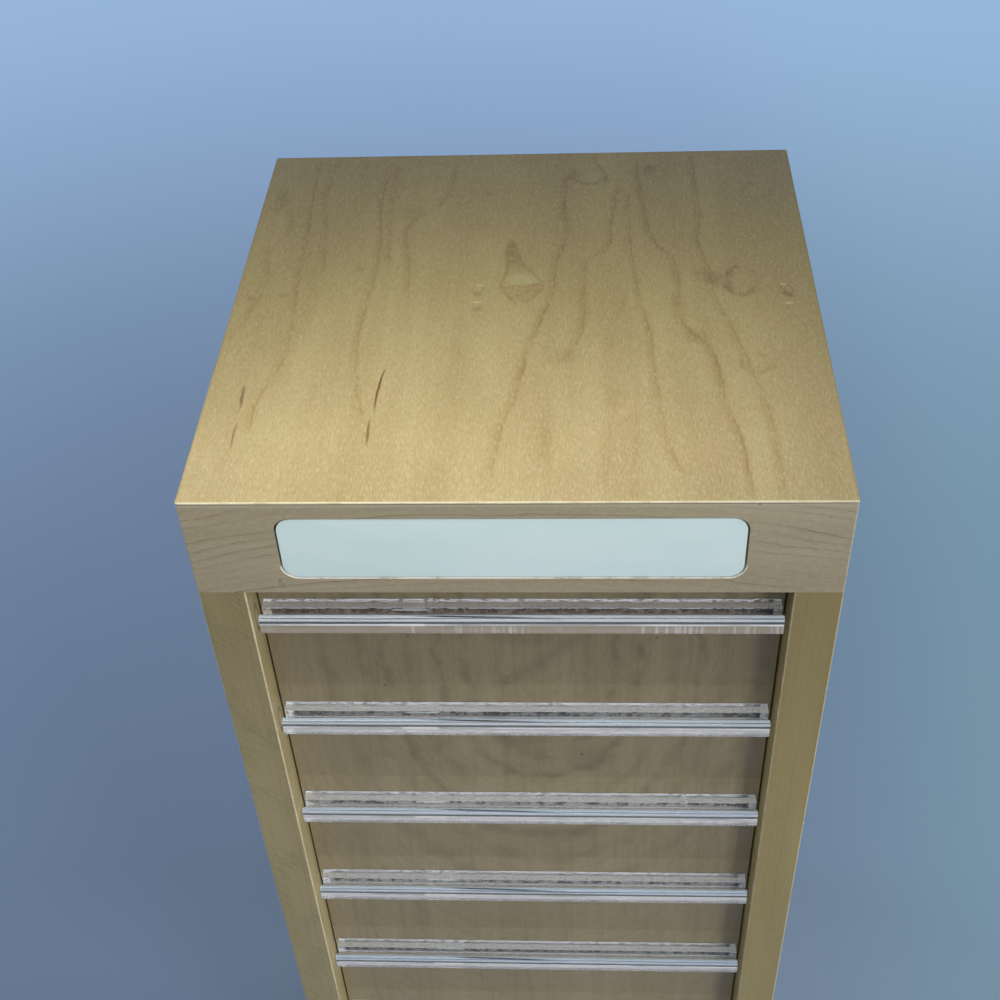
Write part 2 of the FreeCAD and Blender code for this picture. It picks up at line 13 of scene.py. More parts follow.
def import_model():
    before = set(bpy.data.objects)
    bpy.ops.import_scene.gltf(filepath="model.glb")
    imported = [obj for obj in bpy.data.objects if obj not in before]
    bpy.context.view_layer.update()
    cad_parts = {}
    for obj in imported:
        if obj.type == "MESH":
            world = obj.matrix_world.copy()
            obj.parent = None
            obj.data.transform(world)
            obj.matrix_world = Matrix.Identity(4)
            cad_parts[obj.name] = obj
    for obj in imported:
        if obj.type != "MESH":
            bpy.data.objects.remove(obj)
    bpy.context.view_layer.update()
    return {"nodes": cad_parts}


MM = 0.001

# Faces of the case and of the display panel along y, and the front stiles' inner faces along x, in mm
FRONT = -127.5
BACK = 127.5
PANEL_FRONT = -114.5
STILE_INNER = 107.95

# Step of the rails and the top of the first one's flange along z, in mm
RAIL_STEP = 66.2
FIRST_FLANGE_TOP = 544.2


class Tree:
    """Writes the nodes of a material or world. A value is a socket, or a plain number, vector or colour."""

    def __init__(self, owner):
        owner.use_nodes = True
        self.nodes = owner.node_tree.nodes
        self.links = owner.node_tree.links
        self.nodes.clear()

    def node(self, kind, **settings):
        node = self.nodes.new(kind)
        for key, value in settings.items():
            setattr(node, key, value)
        return node

    def put(self, socket, value):
        if isinstance(value, bpy.types.NodeSocket):
            self.links.new(value, socket)
        elif isinstance(value, tuple) and socket.type == "RGBA":
            socket.default_value = value + (1.0,)
        else:
            socket.default_value = value

    def fill(self, node, *values):
        """Puts values into a node's first inputs and gives its first output."""
        for socket, value in zip(node.inputs, values):
            self.put(socket, value)
        return node.outputs[0]

    def math(self, operation, *values):
        return self.fill(self.node("ShaderNodeMath", operation=operation), *values)

    def linear(self, value, factor, offset):
        """Value times factor, plus offset."""
        return self.math("MULTIPLY_ADD", value, factor, offset)

    def most(self, *values):
        result = values[0]
        for value in values[1:]:
            result = self.math("MAXIMUM", result, value)
        return result

    def mix_shader(self, factor, first, second):
        """Shader from first to second."""
        return self.fill(self.node("ShaderNodeMixShader"), factor, first, second)

    def seen_directly(self):
        """1 for rays that show a surface, also by gloss or through clear pieces, 0 for its own light."""
        rays = self.node("ShaderNodeLightPath").outputs
        return self.most(rays["Is Camera Ray"], rays["Is Glossy Ray"], rays["Is Transmission Ray"])


class Graph(Tree):
    """Writes one material, with the place on the object in millimetres."""

    def __init__(self, name):
        self.material = bpy.data.materials.new(name)
        super().__init__(self.material)
        self.shader = self.node("ShaderNodeBsdfPrincipled")
        self.output = self.node("ShaderNodeOutputMaterial")
        self.show(self.shader.outputs["BSDF"])
        coordinates = self.node("ShaderNodeTexCoord")
        self.place = self.vector("MULTIPLY", coordinates.outputs["Object"], (1000, 1000, 1000))
        self.x, self.y, self.z = self.split(self.place)
        self.normal_x, self.normal_y, self.normal_z = self.split(coordinates.outputs["Normal"])

    def show(self, shader):
        self.put(self.output.inputs["Surface"], shader)

    def set(self, **values):
        """Sets the shader's inputs. An underscore in a name stands for a space."""
        for name, value in values.items():
            self.put(self.shader.inputs[name.replace("_", " ")], value)

    def vector(self, operation, *values):
        return self.fill(self.node("ShaderNodeVectorMath", operation=operation), *values)

    def split(self, value):
        node = self.node("ShaderNodeSeparateXYZ")
        self.put(node.inputs[0], value)
        return node.outputs

    def length(self, value):
        node = self.node("ShaderNodeVectorMath", operation="LENGTH")
        self.put(node.inputs[0], value)
        return node.outputs["Value"]

    def join(self, x, y, z):
        return self.fill(self.node("ShaderNodeCombineXYZ"), x, y, z)

    def noise(self, spacing, detail=2.0, roughness=0.5, seed=0.0, place=None):
        """Smooth noise from 0 to 1 whose grains are about spacing millimetres along x, y and z."""
        scale = tuple(1.0 / length for length in spacing)
        scaled = self.vector("MULTIPLY", place or self.place, scale)
        node = self.node("ShaderNodeTexNoise")
        self.put(node.inputs["Vector"], self.vector("ADD", scaled, (seed, seed * 1.7, seed * 0.6)))
        node.inputs["Scale"].default_value = 1.0
        node.inputs["Detail"].default_value = detail
        node.inputs["Roughness"].default_value = roughness
        return node.outputs[0]

    def fade(self, value, start, end, low=0.0, high=1.0):
        """Goes smoothly from low to high while value goes from start to end."""
        node = self.node("ShaderNodeMapRange", interpolation_type="SMOOTHSTEP")
        return self.fill(node, value, start, end, low, high)

    def away(self, value, middle):
        """How far a value lies from a middle, to either side."""
        return self.math("ABSOLUTE", self.math("SUBTRACT", value, middle))

    def band(self, value, middle, outer, inner, strength=1.0):
        """Strength around a middle, which fades from inner to outer on either side."""
        return self.fade(self.away(value, middle), outer, inner, 0.0, strength)

    def mix(self, factor, first, second, blend="MIX"):
        """Colour from first to second."""
        node = self.node("ShaderNodeMix", data_type="RGBA", blend_type=blend)
        self.put(node.inputs[0], factor)
        self.put(node.inputs[6], first)
        self.put(node.inputs[7], second)
        return node.outputs[2]

    def times(self, *values):
        result = values[0]
        for value in values[1:]:
            result = self.math("MULTIPLY", result, value)
        return result

    def bump(self, height, distance, normal=None):
        """A normal bent by height, where a height of 1 stands distance millimetres proud."""
        node = self.node("ShaderNodeBump")
        node.inputs["Strength"].default_value = 1.0
        node.inputs["Distance"].default_value = distance * MM
        self.put(node.inputs["Height"], height)
        if normal is not None:
            self.put(node.inputs["Normal"], normal)
        return node.outputs[0]

    def pass_lamp_light(self, colour):
        """Lets lamp light straight through a clear piece, so that what is behind it doesn't darken."""
        shadow = self.node("ShaderNodeLightPath").outputs["Is Shadow Ray"]
        clear = self.fill(self.node("ShaderNodeBsdfTransparent"), colour)
        self.show(self.mix_shader(shadow, self.shader.outputs["BSDF"], clear))

    def path(self, value, points, low=-130.0, high=130.0):
        """A smooth curve through points (value, result). Both run between low and high."""
        span = high - low
        node = self.node("ShaderNodeFloatCurve")
        line = node.mapping.curves[0]
        ordered = sorted(((a - low) / span, (b - low) / span) for a, b in points)
        line.points[0].location = ordered[0]
        line.points[1].location = ordered[-1]
        for a, b in ordered[1:-1]:
            line.points.new(a, b)
        node.mapping.extend = "HORIZONTAL"
        node.mapping.update()
        self.put(node.inputs["Value"], self.math("DIVIDE", self.math("SUBTRACT", value, low), span))
        return self.linear(node.outputs[0], span, low)

    def arris(self):
        """1 on the bevelled edges of a board that lies along the axes, 0 on its faces."""
        turns = (self.normal_x, self.normal_y, self.normal_z)
        flat = self.most(*(self.math("ABSOLUTE", item) for item in turns))
        return self.fade(flat, 0.99, 0.93)


def stretched(grain, across, along):
    """Spacing of a noise that is drawn out along the grain axis."""
    spacing = [across, across, across]
    spacing[grain] = along
    return tuple(spacing)


# Maple

LIGHT_TOP = (0.56, 0.455, 0.232)
DEEP_TOP = (0.47, 0.365, 0.171)
LINE_TOP = (0.33, 0.205, 0.042)

# Growth lines of the top sheet: how strong each is, and its points as (y, x) in millimetres
TOP_LINES = (
    (1.0, ((108.5, 23.0), (105.2, 20.2), (101.4, 18.9), (86.2, 18.0), (47.8, 18.7), (31.1, 14.8),
           (10.4, 13.7), (-15.7, 7.8), (-36.3, 3.3), (-67.4, -1.4), (-83.8, -5.5), (-113.1, -8.3))),
    (0.75, ((93.5, 43.8), (64.8, 39.8), (40.1, 36.7), (33.1, 29.3), (19.2, 27.3), (-16.1, 26.5),
            (-30.6, 23.4), (-42.6, 18.0))),
    (0.75, ((87.9, 48.6), (44.7, 48.1), (25.6, 49.5), (-1.5, 51.3), (-20.8, 54.4), (-43.1, 55.3),
            (-68.0, 56.7), (-96.7, 59.4), (-110.3, 63.7))),
    (1.0, ((118.1, 53.0), (90.5, 54.2), (59.3, 56.6), (44.4, 60.1), (32.3, 66.8), (13.7, 68.5),
           (-12.6, 67.7), (-23.1, 72.1), (-33.5, 78.8), (-47.4, 81.4), (-72.0, 83.1), (-88.2, 86.4),
           (-123.5, 88.4))),
    (0.75, ((125.8, 80.0), (97.8, 80.5), (68.7, 80.8), (43.9, 78.7), (31.9, 81.2), (2.3, 83.7),
            (-21.4, 89.4), (-47.6, 94.5), (-74.0, 99.0), (-97.0, 100.1), (-121.9, 100.3))),
    (0.35, ((3.1, 44.4), (-16.3, 40.2), (-34.9, 38.0))),
    (0.6, ((127.0, 33.0), (119.4, 33.2), (114.0, 34.8), (108.6, 37.4), (102.5, 38.3))),
    (0.75, ((123.3, -104.0), (92.4, -103.6), (58.3, -101.8), (29.0, -101.1), (-0.8, -99.5), (-32.7, -98.0),
           (-48.8, -100.6), (-66.1, -105.1), (-84.6, -105.6))),
    (0.7, ((122.9, -94.3), (97.7, -97.1), (65.8, -94.4), (28.8, -90.3))),
    (0.75, ((105.1, -68.9), (80.7, -69.4), (45.0, -66.5), (16.6, -67.0), (-7.9, -68.3), (-27.0, -68.7),
           (-55.1, -66.2), (-75.9, -62.1))),
    (0.6, ((116.2, -64.1), (65.0, -63.7), (32.8, -61.3))),
    (0.7, ((116.3, -35.5), (92.7, -37.5), (77.8, -43.1), (63.5, -54.0), (33.2, -52.2), (11.2, -50.7))),
    (0.5, ((79.3, -113.2), (56.1, -111.2), (46.3, -116.6), (17.6, -114.8), (-9.2, -119.6), (-26.1, -124.3))),
    (0.35, ((-60.5, 38.0), (-71.5, 36.8), (-91.3, 36.5), (-118.0, 34.0))),
    (0.4, ((-77.1, 47.1), (-124.8, 45.7))),
)

# Gum streaks of the top sheet as (x, y) of the middle, half length, half width, slant and depth of tone
TOP_STREAKS = (
    (-112.1, -64.0, 8.0, 0.85, -0.05, 0.75),
    (-111.5, -88.3, 8.5, 0.5, 0.0, 0.7),
    (-56.9, -59.5, 15.5, 0.6, 0.065, 1.0),
    (-58.3, -86.5, 9.0, 0.65, -0.02, 0.8),
)

# Rings and knots of the top sheet as (x, y, half width, half length, strength)
TOP_RINGS = (
    (97.0, -44.4, 6.4, 6.4, 0.55),
    (95.2, 14.6, 6.6, 10.4, 1.0),
    (62.4, 109.0, 4.8, 5.6, 1.0),
    (-19.6, 9.6, 2.5, 3.6, 0.9),
    (114.2, 7.4, 2.8, 3.4, 0.9),
    (108.6, 89.5, 7.0, 6.5, 0.3),
    (31.5, -66.0, 9.0, 9.0, 0.22),
)

# Soft warm patches of the top sheet as (x, y, half width, half length, strength)
TOP_PATCHES = (
    (89.4, 10.6, 3.0, 6.5, 1.0),
    (84.0, 16.0, 5.4, 7.0, 0.85),
    (78.6, 19.5, 5.0, 5.5, 0.6),
    (91.0, 20.0, 3.0, 5.0, 0.7),
    (59.0, 110.4, 3.6, 5.6, 1.0),
    (22.0, 106.0, 4.0, 5.0, 0.5),
    (37.8, 101.0, 1.8, 5.0, 0.7),
    (73.5, -26.0, 6.5, 6.5, 0.55),
    (18.5, -39.0, 8.0, 6.0, 0.35),
    (11.0, -92.0, 4.5, 26.0, 0.4),
    (-118.0, 88.0, 5.0, 14.0, 0.5),
    (-19.7, -4.6, 3.0, 2.4, 0.7),
    (-19.9, 6.6, 2.2, 2.2, 0.7),
    (115.6, 3.4, 2.6, 3.4, 1.0),
    (113.6, 6.0, 1.6, 3.0, 0.8),
    (-18.6, 90.0, 1.8, 4.0, 0.6),
    (-105.8, 7.0, 2.4, 2.6, 0.6),
    (-119.8, 5.1, 2.4, 2.6, 0.5),
    (-54.0, 74.0, 10.0, 8.0, 0.35),
    (-74.1, 27.0, 4.0, 4.0, 0.3),
)

# Pale lips of the pips of the top sheet as (x, y, half width, half length, strength)
TOP_LIPS = (
    (-19.0, 13.2, 1.9, 1.3, 1.0),
    (-20.2, 0.6, 2.6, 1.0, 1.0),
    (113.4, 11.4, 1.7, 1.4, 1.0),
    (114.6, -2.6, 2.2, 1.1, 1.0),
)

# Left and right edge of the teardrop in the top sheet as (y, x)
TEAR_LEFT = ((49.5, -6.1), (44.6, -7.8), (34.4, -7.9), (25.5, -7.5), (17.9, -8.8), (12.5, -9.6),
             (6.1, -7.3), (-0.6, -2.6))
TEAR_RIGHT = ((49.5, -6.1), (44.5, -4.0), (34.3, -1.6), (27.5, 0.9), (20.8, 5.4), (12.5, 8.6),
              (5.8, 5.9), (-0.6, 1.6))


def radius_from(graph, place, x, y, half_width, half_length):
    """Distance of a place in a plane from a middle, where 1 is the edge of an oval."""
    shifted = graph.vector("SUBTRACT", place, (x, y, 0.0))
    return graph.length(graph.vector("MULTIPLY", shifted, (1.0 / half_width, 1.0 / half_length, 0.0)))


def soft_ovals(graph, place, ovals, outer, inner):
    """Strength of the strongest oval at a place. An oval is (x, y, half width, half length, strength)."""
    total = 0.0
    for *oval, strength in ovals:
        radius = radius_from(graph, place, *oval)
        total = graph.most(graph.fade(radius, outer, inner, 0.0, strength), total)
    return total


def maple_finish(graph, colour, fibre, fleck, wear=0.35, coat=0.15):
    """Satin lacquer over maple: paler arrises, fine relief and an uneven sheen. Gives the material."""
    patchy = graph.fade(graph.noise((3.0, 3.0, 3.0), detail=3.0, seed=9.0), 0.25, 0.6, 0.4, 1.0)
    colour = graph.mix(graph.times(graph.arris(), patchy, wear), colour, (0.86, 0.76, 0.54))
    graph.set(Base_Color=colour)
    height = graph.math("ADD", fibre, graph.times(fleck, -0.6))
    wave = graph.noise((26.0, 26.0, 26.0), detail=1.0, seed=4.0)
    graph.set(Normal=graph.bump(height, 0.02, graph.bump(wave, 0.05)))
    rough = graph.linear(fibre, 0.14, 0.29)
    graph.set(Roughness=graph.linear(fleck, 0.06, rough))
    graph.set(Coat_Weight=coat, Coat_Roughness=0.22, IOR=1.48)
    return graph.material


def top_sheet():
    """Figured veneer with its grain from front to back."""
    graph = Graph("maple_top_sheet")
    grain = 1
    tone = graph.noise(stretched(grain, 34.0, 120.0), detail=3.0, seed=2.0)
    colour = graph.mix(graph.fade(tone, 0.3, 0.72), DEEP_TOP, LIGHT_TOP)
    cloud = graph.noise((22.0, 30.0, 22.0), detail=3.0, roughness=0.6, seed=7.0)
    colour = graph.mix(graph.fade(cloud, 0.5, 0.75, 0.0, 0.3), colour, (0.56, 0.375, 0.19))
    ribbon = graph.noise(stretched(grain, 5.5, 150.0), detail=2.0, seed=1.0)
    colour = graph.mix(graph.fade(ribbon, 0.42, 0.62, 0.10, 0.0), colour, LINE_TOP)

    jag = graph.noise((3.0, 6.0, 3.0), detail=3.0, roughness=0.6, seed=3.0)
    wander = graph.noise((8.0, 8.0, 8.0), detail=2.0, seed=14.0)
    patchy = graph.noise((9.0, 16.0, 9.0), detail=2.0, seed=5.0)
    shake = graph.linear(jag, 1.8, -0.9)
    shifted = graph.math("ADD", graph.x, shake)
    sway = graph.linear(wander, 3.0, -1.5)
    warped = graph.join(graph.math("ADD", shifted, sway),
                        graph.linear(sway, -0.8, graph.y), 0.0)
    rough = graph.join(graph.linear(shake, 1.2, graph.x),
                       graph.linear(shake, -1.0, graph.y), 0.0)

    lines = 0.0
    for strength, points in TOP_LINES:
        offset = graph.math("SUBTRACT", shifted, graph.path(graph.y, points))
        core = graph.band(offset, 0.0, 0.9, 0.1, 0.5)
        halo = graph.band(offset, -0.8, 3.4, 0.0, 0.6)
        ends = graph.times(
            graph.fade(graph.y, points[-1][0] - 6.0, points[-1][0] + 4.0),
            graph.fade(graph.y, points[0][0] + 6.0, points[0][0] - 4.0))
        lines = graph.most(graph.times(graph.math("ADD", core, halo), ends, strength), lines)
    lines = graph.times(lines, graph.fade(patchy, 0.25, 0.65, 0.35, 1.0))

    rings = 0.0
    for *ring, strength in TOP_RINGS:
        rings = graph.most(graph.band(radius_from(graph, warped, *ring), 1.0, 0.3, 0.02, strength), rings)
    loop = graph.band(radius_from(graph, rough, 29.6, 107.0, 8.6, 9.0), 1.0, 0.2, 0.02)
    loop = graph.times(loop, graph.fade(graph.y, 108.0, 104.0))
    rings = graph.times(rings, graph.fade(patchy, 0.32, 0.58, 0.15, 1.0))
    marks = graph.most(lines, rings, graph.times(loop, 0.8))
    colour = graph.mix(graph.times(marks, 0.86), colour, LINE_TOP)

    patches = soft_ovals(graph, rough, TOP_PATCHES, 1.25, 0.1)
    mottle = graph.fade(graph.noise((2.6, 3.4, 2.6), detail=2.0, seed=16.0), 0.3, 0.6, 0.65, 1.0)
    colour = graph.mix(graph.times(patches, mottle, 0.92), colour, (0.26, 0.18, 0.045))

    # The teardrop: a soft dark band that widens into a pale field, over a warm dark foot
    from_left = graph.math("SUBTRACT", shifted, graph.path(graph.y, TEAR_LEFT))
    from_right = graph.math("SUBTRACT", graph.path(graph.y, TEAR_RIGHT), shifted)
    inset = graph.math("MINIMUM", from_left, from_right)
    within = graph.times(graph.fade(graph.y, -2.0, 1.0), graph.fade(graph.y, 51.0, 47.0))
    inside = graph.times(graph.fade(inset, -1.2, 1.6), within)
    colour = graph.mix(graph.times(inside, graph.fade(graph.y, 18.0, 36.0), mottle, 0.8), colour, LINE_TOP)
    pale = graph.fade(radius_from(graph, rough, -0.8, 17.6, 7.6, 5.6), 1.2, 0.3)
    colour = graph.mix(graph.times(pale, 0.5), colour, (0.66, 0.60, 0.38))
    brow = graph.math("ADD", graph.linear(jag, 4.0, graph.y),
                      graph.linear(wander, 6.0, -18.0))
    foot = graph.times(inside, graph.fade(brow, 1.4, -1.4))
    colour = graph.mix(graph.times(foot, mottle, 0.6), colour, (0.44, 0.28, 0.085))
    edge = graph.times(graph.band(inset, 0.0, 1.5, 0.1), within, mottle, 0.7)
    brow = graph.times(graph.band(brow, 0.0, 1.0, 0.1), inside, graph.fade(patchy, 0.35, 0.55))
    colour = graph.mix(graph.times(graph.most(edge, brow), 0.8), colour, LINE_TOP)

    lips = soft_ovals(graph, rough, TOP_LIPS, 1.2, 0.4)
    colour = graph.mix(graph.times(lips, 0.6), colour, (0.80, 0.70, 0.45))

    # Painted light and shade: the sheet is a little darker along its front edge, turns yellower, then darker
    # and pinker towards the back, and is darker still at the right back corner, where less light falls
    painted_light_lift = graph.fade(graph.y, -125.0, -85.0, 0.95, 1.09)
    colour = graph.mix(1.0, colour, graph.join(painted_light_lift, painted_light_lift, painted_light_lift), blend="MULTIPLY")
    colour = graph.mix(graph.fade(graph.y, -120.0, 60.0), colour, (1.0, 1.0, 0.66), blend="MULTIPLY")
    colour = graph.mix(graph.fade(graph.y, -30.0, 125.0), colour, (0.83, 0.77, 0.77), blend="MULTIPLY")
    corner = graph.times(graph.fade(graph.x, 30.0, 125.0), graph.fade(graph.y, 30.0, 120.0))
    colour = graph.mix(corner, colour, (0.85, 0.84, 0.88), blend="MULTIPLY")

    fleck = graph.noise(stretched(grain, 0.42, 3.4), detail=2.0, roughness=0.6, seed=6.0)
    dark_fleck = graph.fade(fleck, 0.52, 0.70)
    colour = graph.mix(graph.times(dark_fleck, 0.38), colour, LINE_TOP)
    grit = graph.noise((0.55, 2.6, 0.55), detail=4.0, roughness=0.75, seed=15.0)
    colour = graph.mix(graph.fade(grit, 0.48, 0.72, 0.0, 0.62), colour, (0.74, 0.64, 0.38))
    colour = graph.mix(graph.fade(grit, 0.48, 0.28, 0.0, 0.34), colour, LINE_TOP)
    fibre = graph.noise(stretched(grain, 0.5, 14.0), detail=4.0, roughness=0.7, seed=8.0)
    colour = graph.mix(graph.fade(fibre, 0.35, 0.7, 0.0, 0.16), colour, (0.66, 0.55, 0.32))

    glint = graph.noise(stretched(grain, 1.0, 4.4), detail=0.0, seed=12.0)
    glint = graph.times(graph.fade(glint, 0.86, 0.91), graph.fade(graph.y, 10.0, -80.0, 0.2, 1.0))
    colour = graph.mix(graph.times(glint, 0.55), colour, (0.88, 0.80, 0.56))

    streaks = 0.0
    for x, y, half_length, half_width, slant, depth in TOP_STREAKS:
        along = graph.math("SUBTRACT", graph.y, y)
        bend = graph.linear(along, slant, x)
        bend = graph.linear(graph.times(along, along), 0.004, bend)
        across = graph.math("SUBTRACT", graph.linear(shake, 0.55, graph.x), bend)
        across = graph.math("DIVIDE", across, half_width)
        reach = graph.math("DIVIDE", along, half_length)
        distance = graph.math("ADD", graph.times(across, across), graph.times(reach, reach))
        streaks = graph.most(graph.fade(distance, 1.4, 0.1, 0.0, depth), streaks)
    colour = graph.mix(streaks, colour, (0.22, 0.105, 0.025))

    # Painted highlight along the front edge; the other edges are a little darker than the sheet
    painted_front_highlight = graph.fade(graph.noise((9.0, 9.0, 9.0), detail=3.0, seed=17.0), 0.3, 0.55, 0.55, 1.0)
    painted_front_highlight = graph.times(graph.fade(graph.y, FRONT + 0.75, FRONT + 0.35), painted_front_highlight, 0.85)
    colour = graph.mix(painted_front_highlight, colour, (0.93, 0.86, 0.62))
    sides = graph.fade(graph.math("ABSOLUTE", graph.x), 126.2, 126.8)
    rim = graph.most(sides, graph.fade(graph.y, BACK - 0.8, BACK - 0.2))
    rim = graph.times(rim, graph.fade(graph.y, FRONT + 1.5, FRONT + 3.5), 0.4)
    colour = graph.mix(rim, colour, LINE_TOP)
    return maple_finish(graph, colour, fibre, dark_fleck, wear=0.0, coat=0.08)


def solid_maple(name, grain, pith, period, seed, tones, bow=(0.0, 0.0), warp=16.0, fine=0.6, contrast=0.5,
                curl=0.0):
    """Maple board. Its growth lines are drawn around pith, a place in the plane across the grain.

    Its tones are light, deep and line. The lines bow along the grain by a factor, from a middle.
    """
    light, deep, line = tones
    graph = Graph(name)
    axes = [graph.x, graph.y, graph.z]
    along = axes.pop(grain)
    side = graph.math("SUBTRACT", axes[0], pith[0])
    depth = graph.math("SUBTRACT", axes[1], pith[1])
    radius = graph.math("SQRT", graph.math("ADD", graph.times(side, side), graph.times(depth, depth)))
    wander = graph.noise(stretched(grain, 24.0, 85.0), detail=2.0, seed=seed)
    jag = graph.noise(stretched(grain, 2.5, 9.0), detail=2.0, seed=seed + 1.0)
    radius = graph.math("ADD", radius, graph.linear(wander, warp, -0.5 * warp))
    radius = graph.math("ADD", radius, graph.linear(jag, 1.6, -0.8))
    from_middle = graph.math("SUBTRACT", along, bow[1])
    radius = graph.math("ADD", radius, graph.times(from_middle, from_middle, bow[0]))
    turn = graph.math("DIVIDE", radius, period)
    phase = graph.math("FRACT", turn)
    ring = graph.times(graph.fade(phase, 0.45, 0.93), graph.fade(phase, 0.995, 0.94))
    thin = graph.times(graph.fade(phase, 0.84, 0.92), graph.fade(phase, 0.995, 0.95))
    white = graph.node("ShaderNodeTexWhiteNoise", noise_dimensions="1D")
    graph.put(white.inputs["W"], graph.math("FLOOR", turn))
    pick = graph.fade(white.outputs["Value"], 0.1, 1.0, 0.15, 1.0)
    patchy = graph.noise(stretched(grain, 14.0, 40.0), detail=1.0, seed=seed + 2.0)
    lines = graph.times(graph.linear(thin, fine, graph.times(ring, 0.3)), pick,
                        graph.fade(patchy, 0.25, 0.6, 0.35, 1.0))

    tone = graph.noise(stretched(grain, 18.0, 130.0), detail=2.0, seed=seed + 3.0)
    colour = graph.mix(graph.fade(tone, 0.3, 0.7), deep, light)
    colour = graph.mix(graph.times(lines, contrast), colour, line)
    if curl:
        slanted = graph.join(graph.x, graph.y, graph.linear(graph.x, 1.2, graph.z))
        wave = graph.noise((7.0, 7.0, 1.5), detail=2.0, seed=seed + 4.0, place=slanted)
        patch = graph.noise((14.0, 14.0, 22.0), detail=1.0, seed=seed + 7.0)
        wave = graph.times(graph.fade(wave, 0.42, 0.66), graph.fade(patch, 0.42, 0.62))
        colour = graph.mix(graph.times(wave, curl), colour, line)
    fleck = graph.noise(stretched(grain, 0.45, 3.6), detail=2.0, roughness=0.6, seed=seed + 5.0)
    dark_fleck = graph.fade(fleck, 0.54, 0.72)
    colour = graph.mix(graph.times(dark_fleck, 0.24), colour, line)
    grit = graph.noise(stretched(grain, 0.8, 2.2), detail=2.0, roughness=0.65, seed=seed + 8.0)
    paler = tuple(channel * 1.3 for channel in light)
    colour = graph.mix(graph.fade(grit, 0.46, 0.70, 0.0, 0.3), colour, paler)
    fibre = graph.noise(stretched(grain, 0.5, 12.0), detail=4.0, roughness=0.7, seed=seed + 6.0)
    colour = graph.mix(graph.fade(fibre, 0.35, 0.7, 0.0, 0.2), colour, light)
    return graph, colour, fibre, dark_fleck


# Tones of the cap's boards, the stiles and the panel: set darker and greyer than the top sheet, partly the
# wood's own tone and partly painted shade, as these faces turn away from the light from above
HEADER_TONES = ((0.42, 0.36, 0.235), (0.36, 0.30, 0.19), (0.17, 0.125, 0.065))
STILE_TONES = ((0.425, 0.352, 0.18), (0.37, 0.30, 0.142), (0.20, 0.155, 0.065))
RIGHT_STILE_TONES = ((0.39, 0.31, 0.125), (0.34, 0.265, 0.10), (0.18, 0.135, 0.05))
PANEL_TONES = ((0.335, 0.27, 0.155), (0.30, 0.238, 0.13), (0.16, 0.12, 0.06))

# Ovals of the panel's figure, open towards the cap: half width in mm, half width of the band, strength
PANEL_OVALS = (
    (20.0, 2.6, 0.5),
    (33.0, 2.2, 0.8),
    (43.0, 2.0, 1.0),
    (56.0, 3.0, 0.55),
    (67.5, 2.6, 0.8),
    (78.0, 3.0, 0.5),
    (92.0, 3.5, 0.5),
)

# Soft dark patches of the panel as (x, z, half width, half height, strength)
PANEL_PATCHES = (
    (-2.0, 452.0, 14.0, 8.0, 0.7),
    (28.0, 438.0, 12.0, 9.0, 0.7),
    (4.0, 520.0, 18.0, 6.0, 0.7),
    (12.0, 379.0, 30.0, 5.0, 0.6),
)

# Pips of the panel as (x, z, half width)
PANEL_PIPS = (
    (-60.3, 489.2, 0.8),
    (25.1, 440.9, 1.0),
    (56.8, 520.3, 0.7),
    (9.1, 439.0, 0.6),
    (-47.5, 521.0, 0.6),
)


def painted_shade_under_cap(graph, colour):
    """Painted shade: the boards of the front are darkened towards the cap, which shades them."""
    return graph.mix(graph.fade(graph.z, 400.0, 555.0), colour, (0.76, 0.75, 0.71), blend="MULTIPLY")


def header_maple(name, grain, pith, seed, bow=(0.0, 0.0)):
    return solid_maple(name, grain, pith, 4.2, seed, HEADER_TONES, bow, 9.0, fine=0.9, contrast=0.85)


def seam_under_top(graph, colour):
    """Dark glue line where the cap's boards meet the top sheet."""
    return graph.mix(graph.fade(graph.z, 608.4, 608.75, 0.0, 0.8), colour, (0.12, 0.085, 0.04))


def plain_header(name, grain, pith, seed):
    graph, colour, fibre, fleck = header_maple(name, grain, pith, seed)
    return maple_finish(graph, seam_under_top(graph, colour), fibre, fleck, wear=0.15)


# Outline of the sign's pocket as (x, z): its middle and half its sizes, and its corner radius
POCKET_MIDDLE = (-1.6, 585.5)
POCKET_HALF = (89.9, 15.9)
POCKET_RADIUS = 7.15

# Nick in the seam and pin knot of the front board as (x, z, radius, strength)
HEADER_MARKS = (
    (90.8, 608.3, 0.7, 0.9),
    (-93.0, 567.8, 0.9, 0.4),
    (-92.4, 565.6, 1.8, 0.2),
)


def front_header():
    """Front board of the cap, with a nick in the seam and a pin knot."""
    graph, colour, fibre, fleck = header_maple("header_maple_front", 0, (-95.0, 470.0), 70.0,
                                               bow=(0.0009, 6.0))
    face = graph.join(graph.x, graph.z, 0.0)
    for x, z, size, strength in HEADER_MARKS:
        radius = radius_from(graph, face, x, z, size, size)
        colour = graph.mix(graph.fade(radius, 1.2, 0.4, 0.0, strength), colour, (0.10, 0.06, 0.02))
    # Pale broken arris of bare wood along the lower rim of the sign's pocket, with a painted highlight where
    # the rim faces up into the light
    aside = graph.away(graph.x, POCKET_MIDDLE[0])
    aside = graph.math("SUBTRACT", aside, POCKET_HALF[0] - POCKET_RADIUS)
    down = graph.math("SUBTRACT", POCKET_MIDDLE[1] - POCKET_HALF[1] + POCKET_RADIUS, graph.z)
    corner = graph.join(graph.most(aside, 0.0), graph.most(down, 0.0), 0.0)
    chip = graph.noise((7.0, 7.0, 7.0), detail=3.0, roughness=0.6, seed=72.0)
    rim = graph.times(graph.band(graph.length(corner), POCKET_RADIUS, 0.75, 0.45),
                      graph.fade(down, 0.0, 2.0), graph.fade(chip, 0.3, 0.5, 0.45, 1.0))
    colour = graph.mix(graph.fade(graph.z, 606.4, 608.0, 0.0, 0.3), colour, (0.58, 0.54, 0.42))
    colour = graph.mix(graph.times(rim, 0.9), seam_under_top(graph, colour), (0.93, 0.92, 0.83))
    return maple_finish(graph, colour, fibre, fleck, wear=0.08)


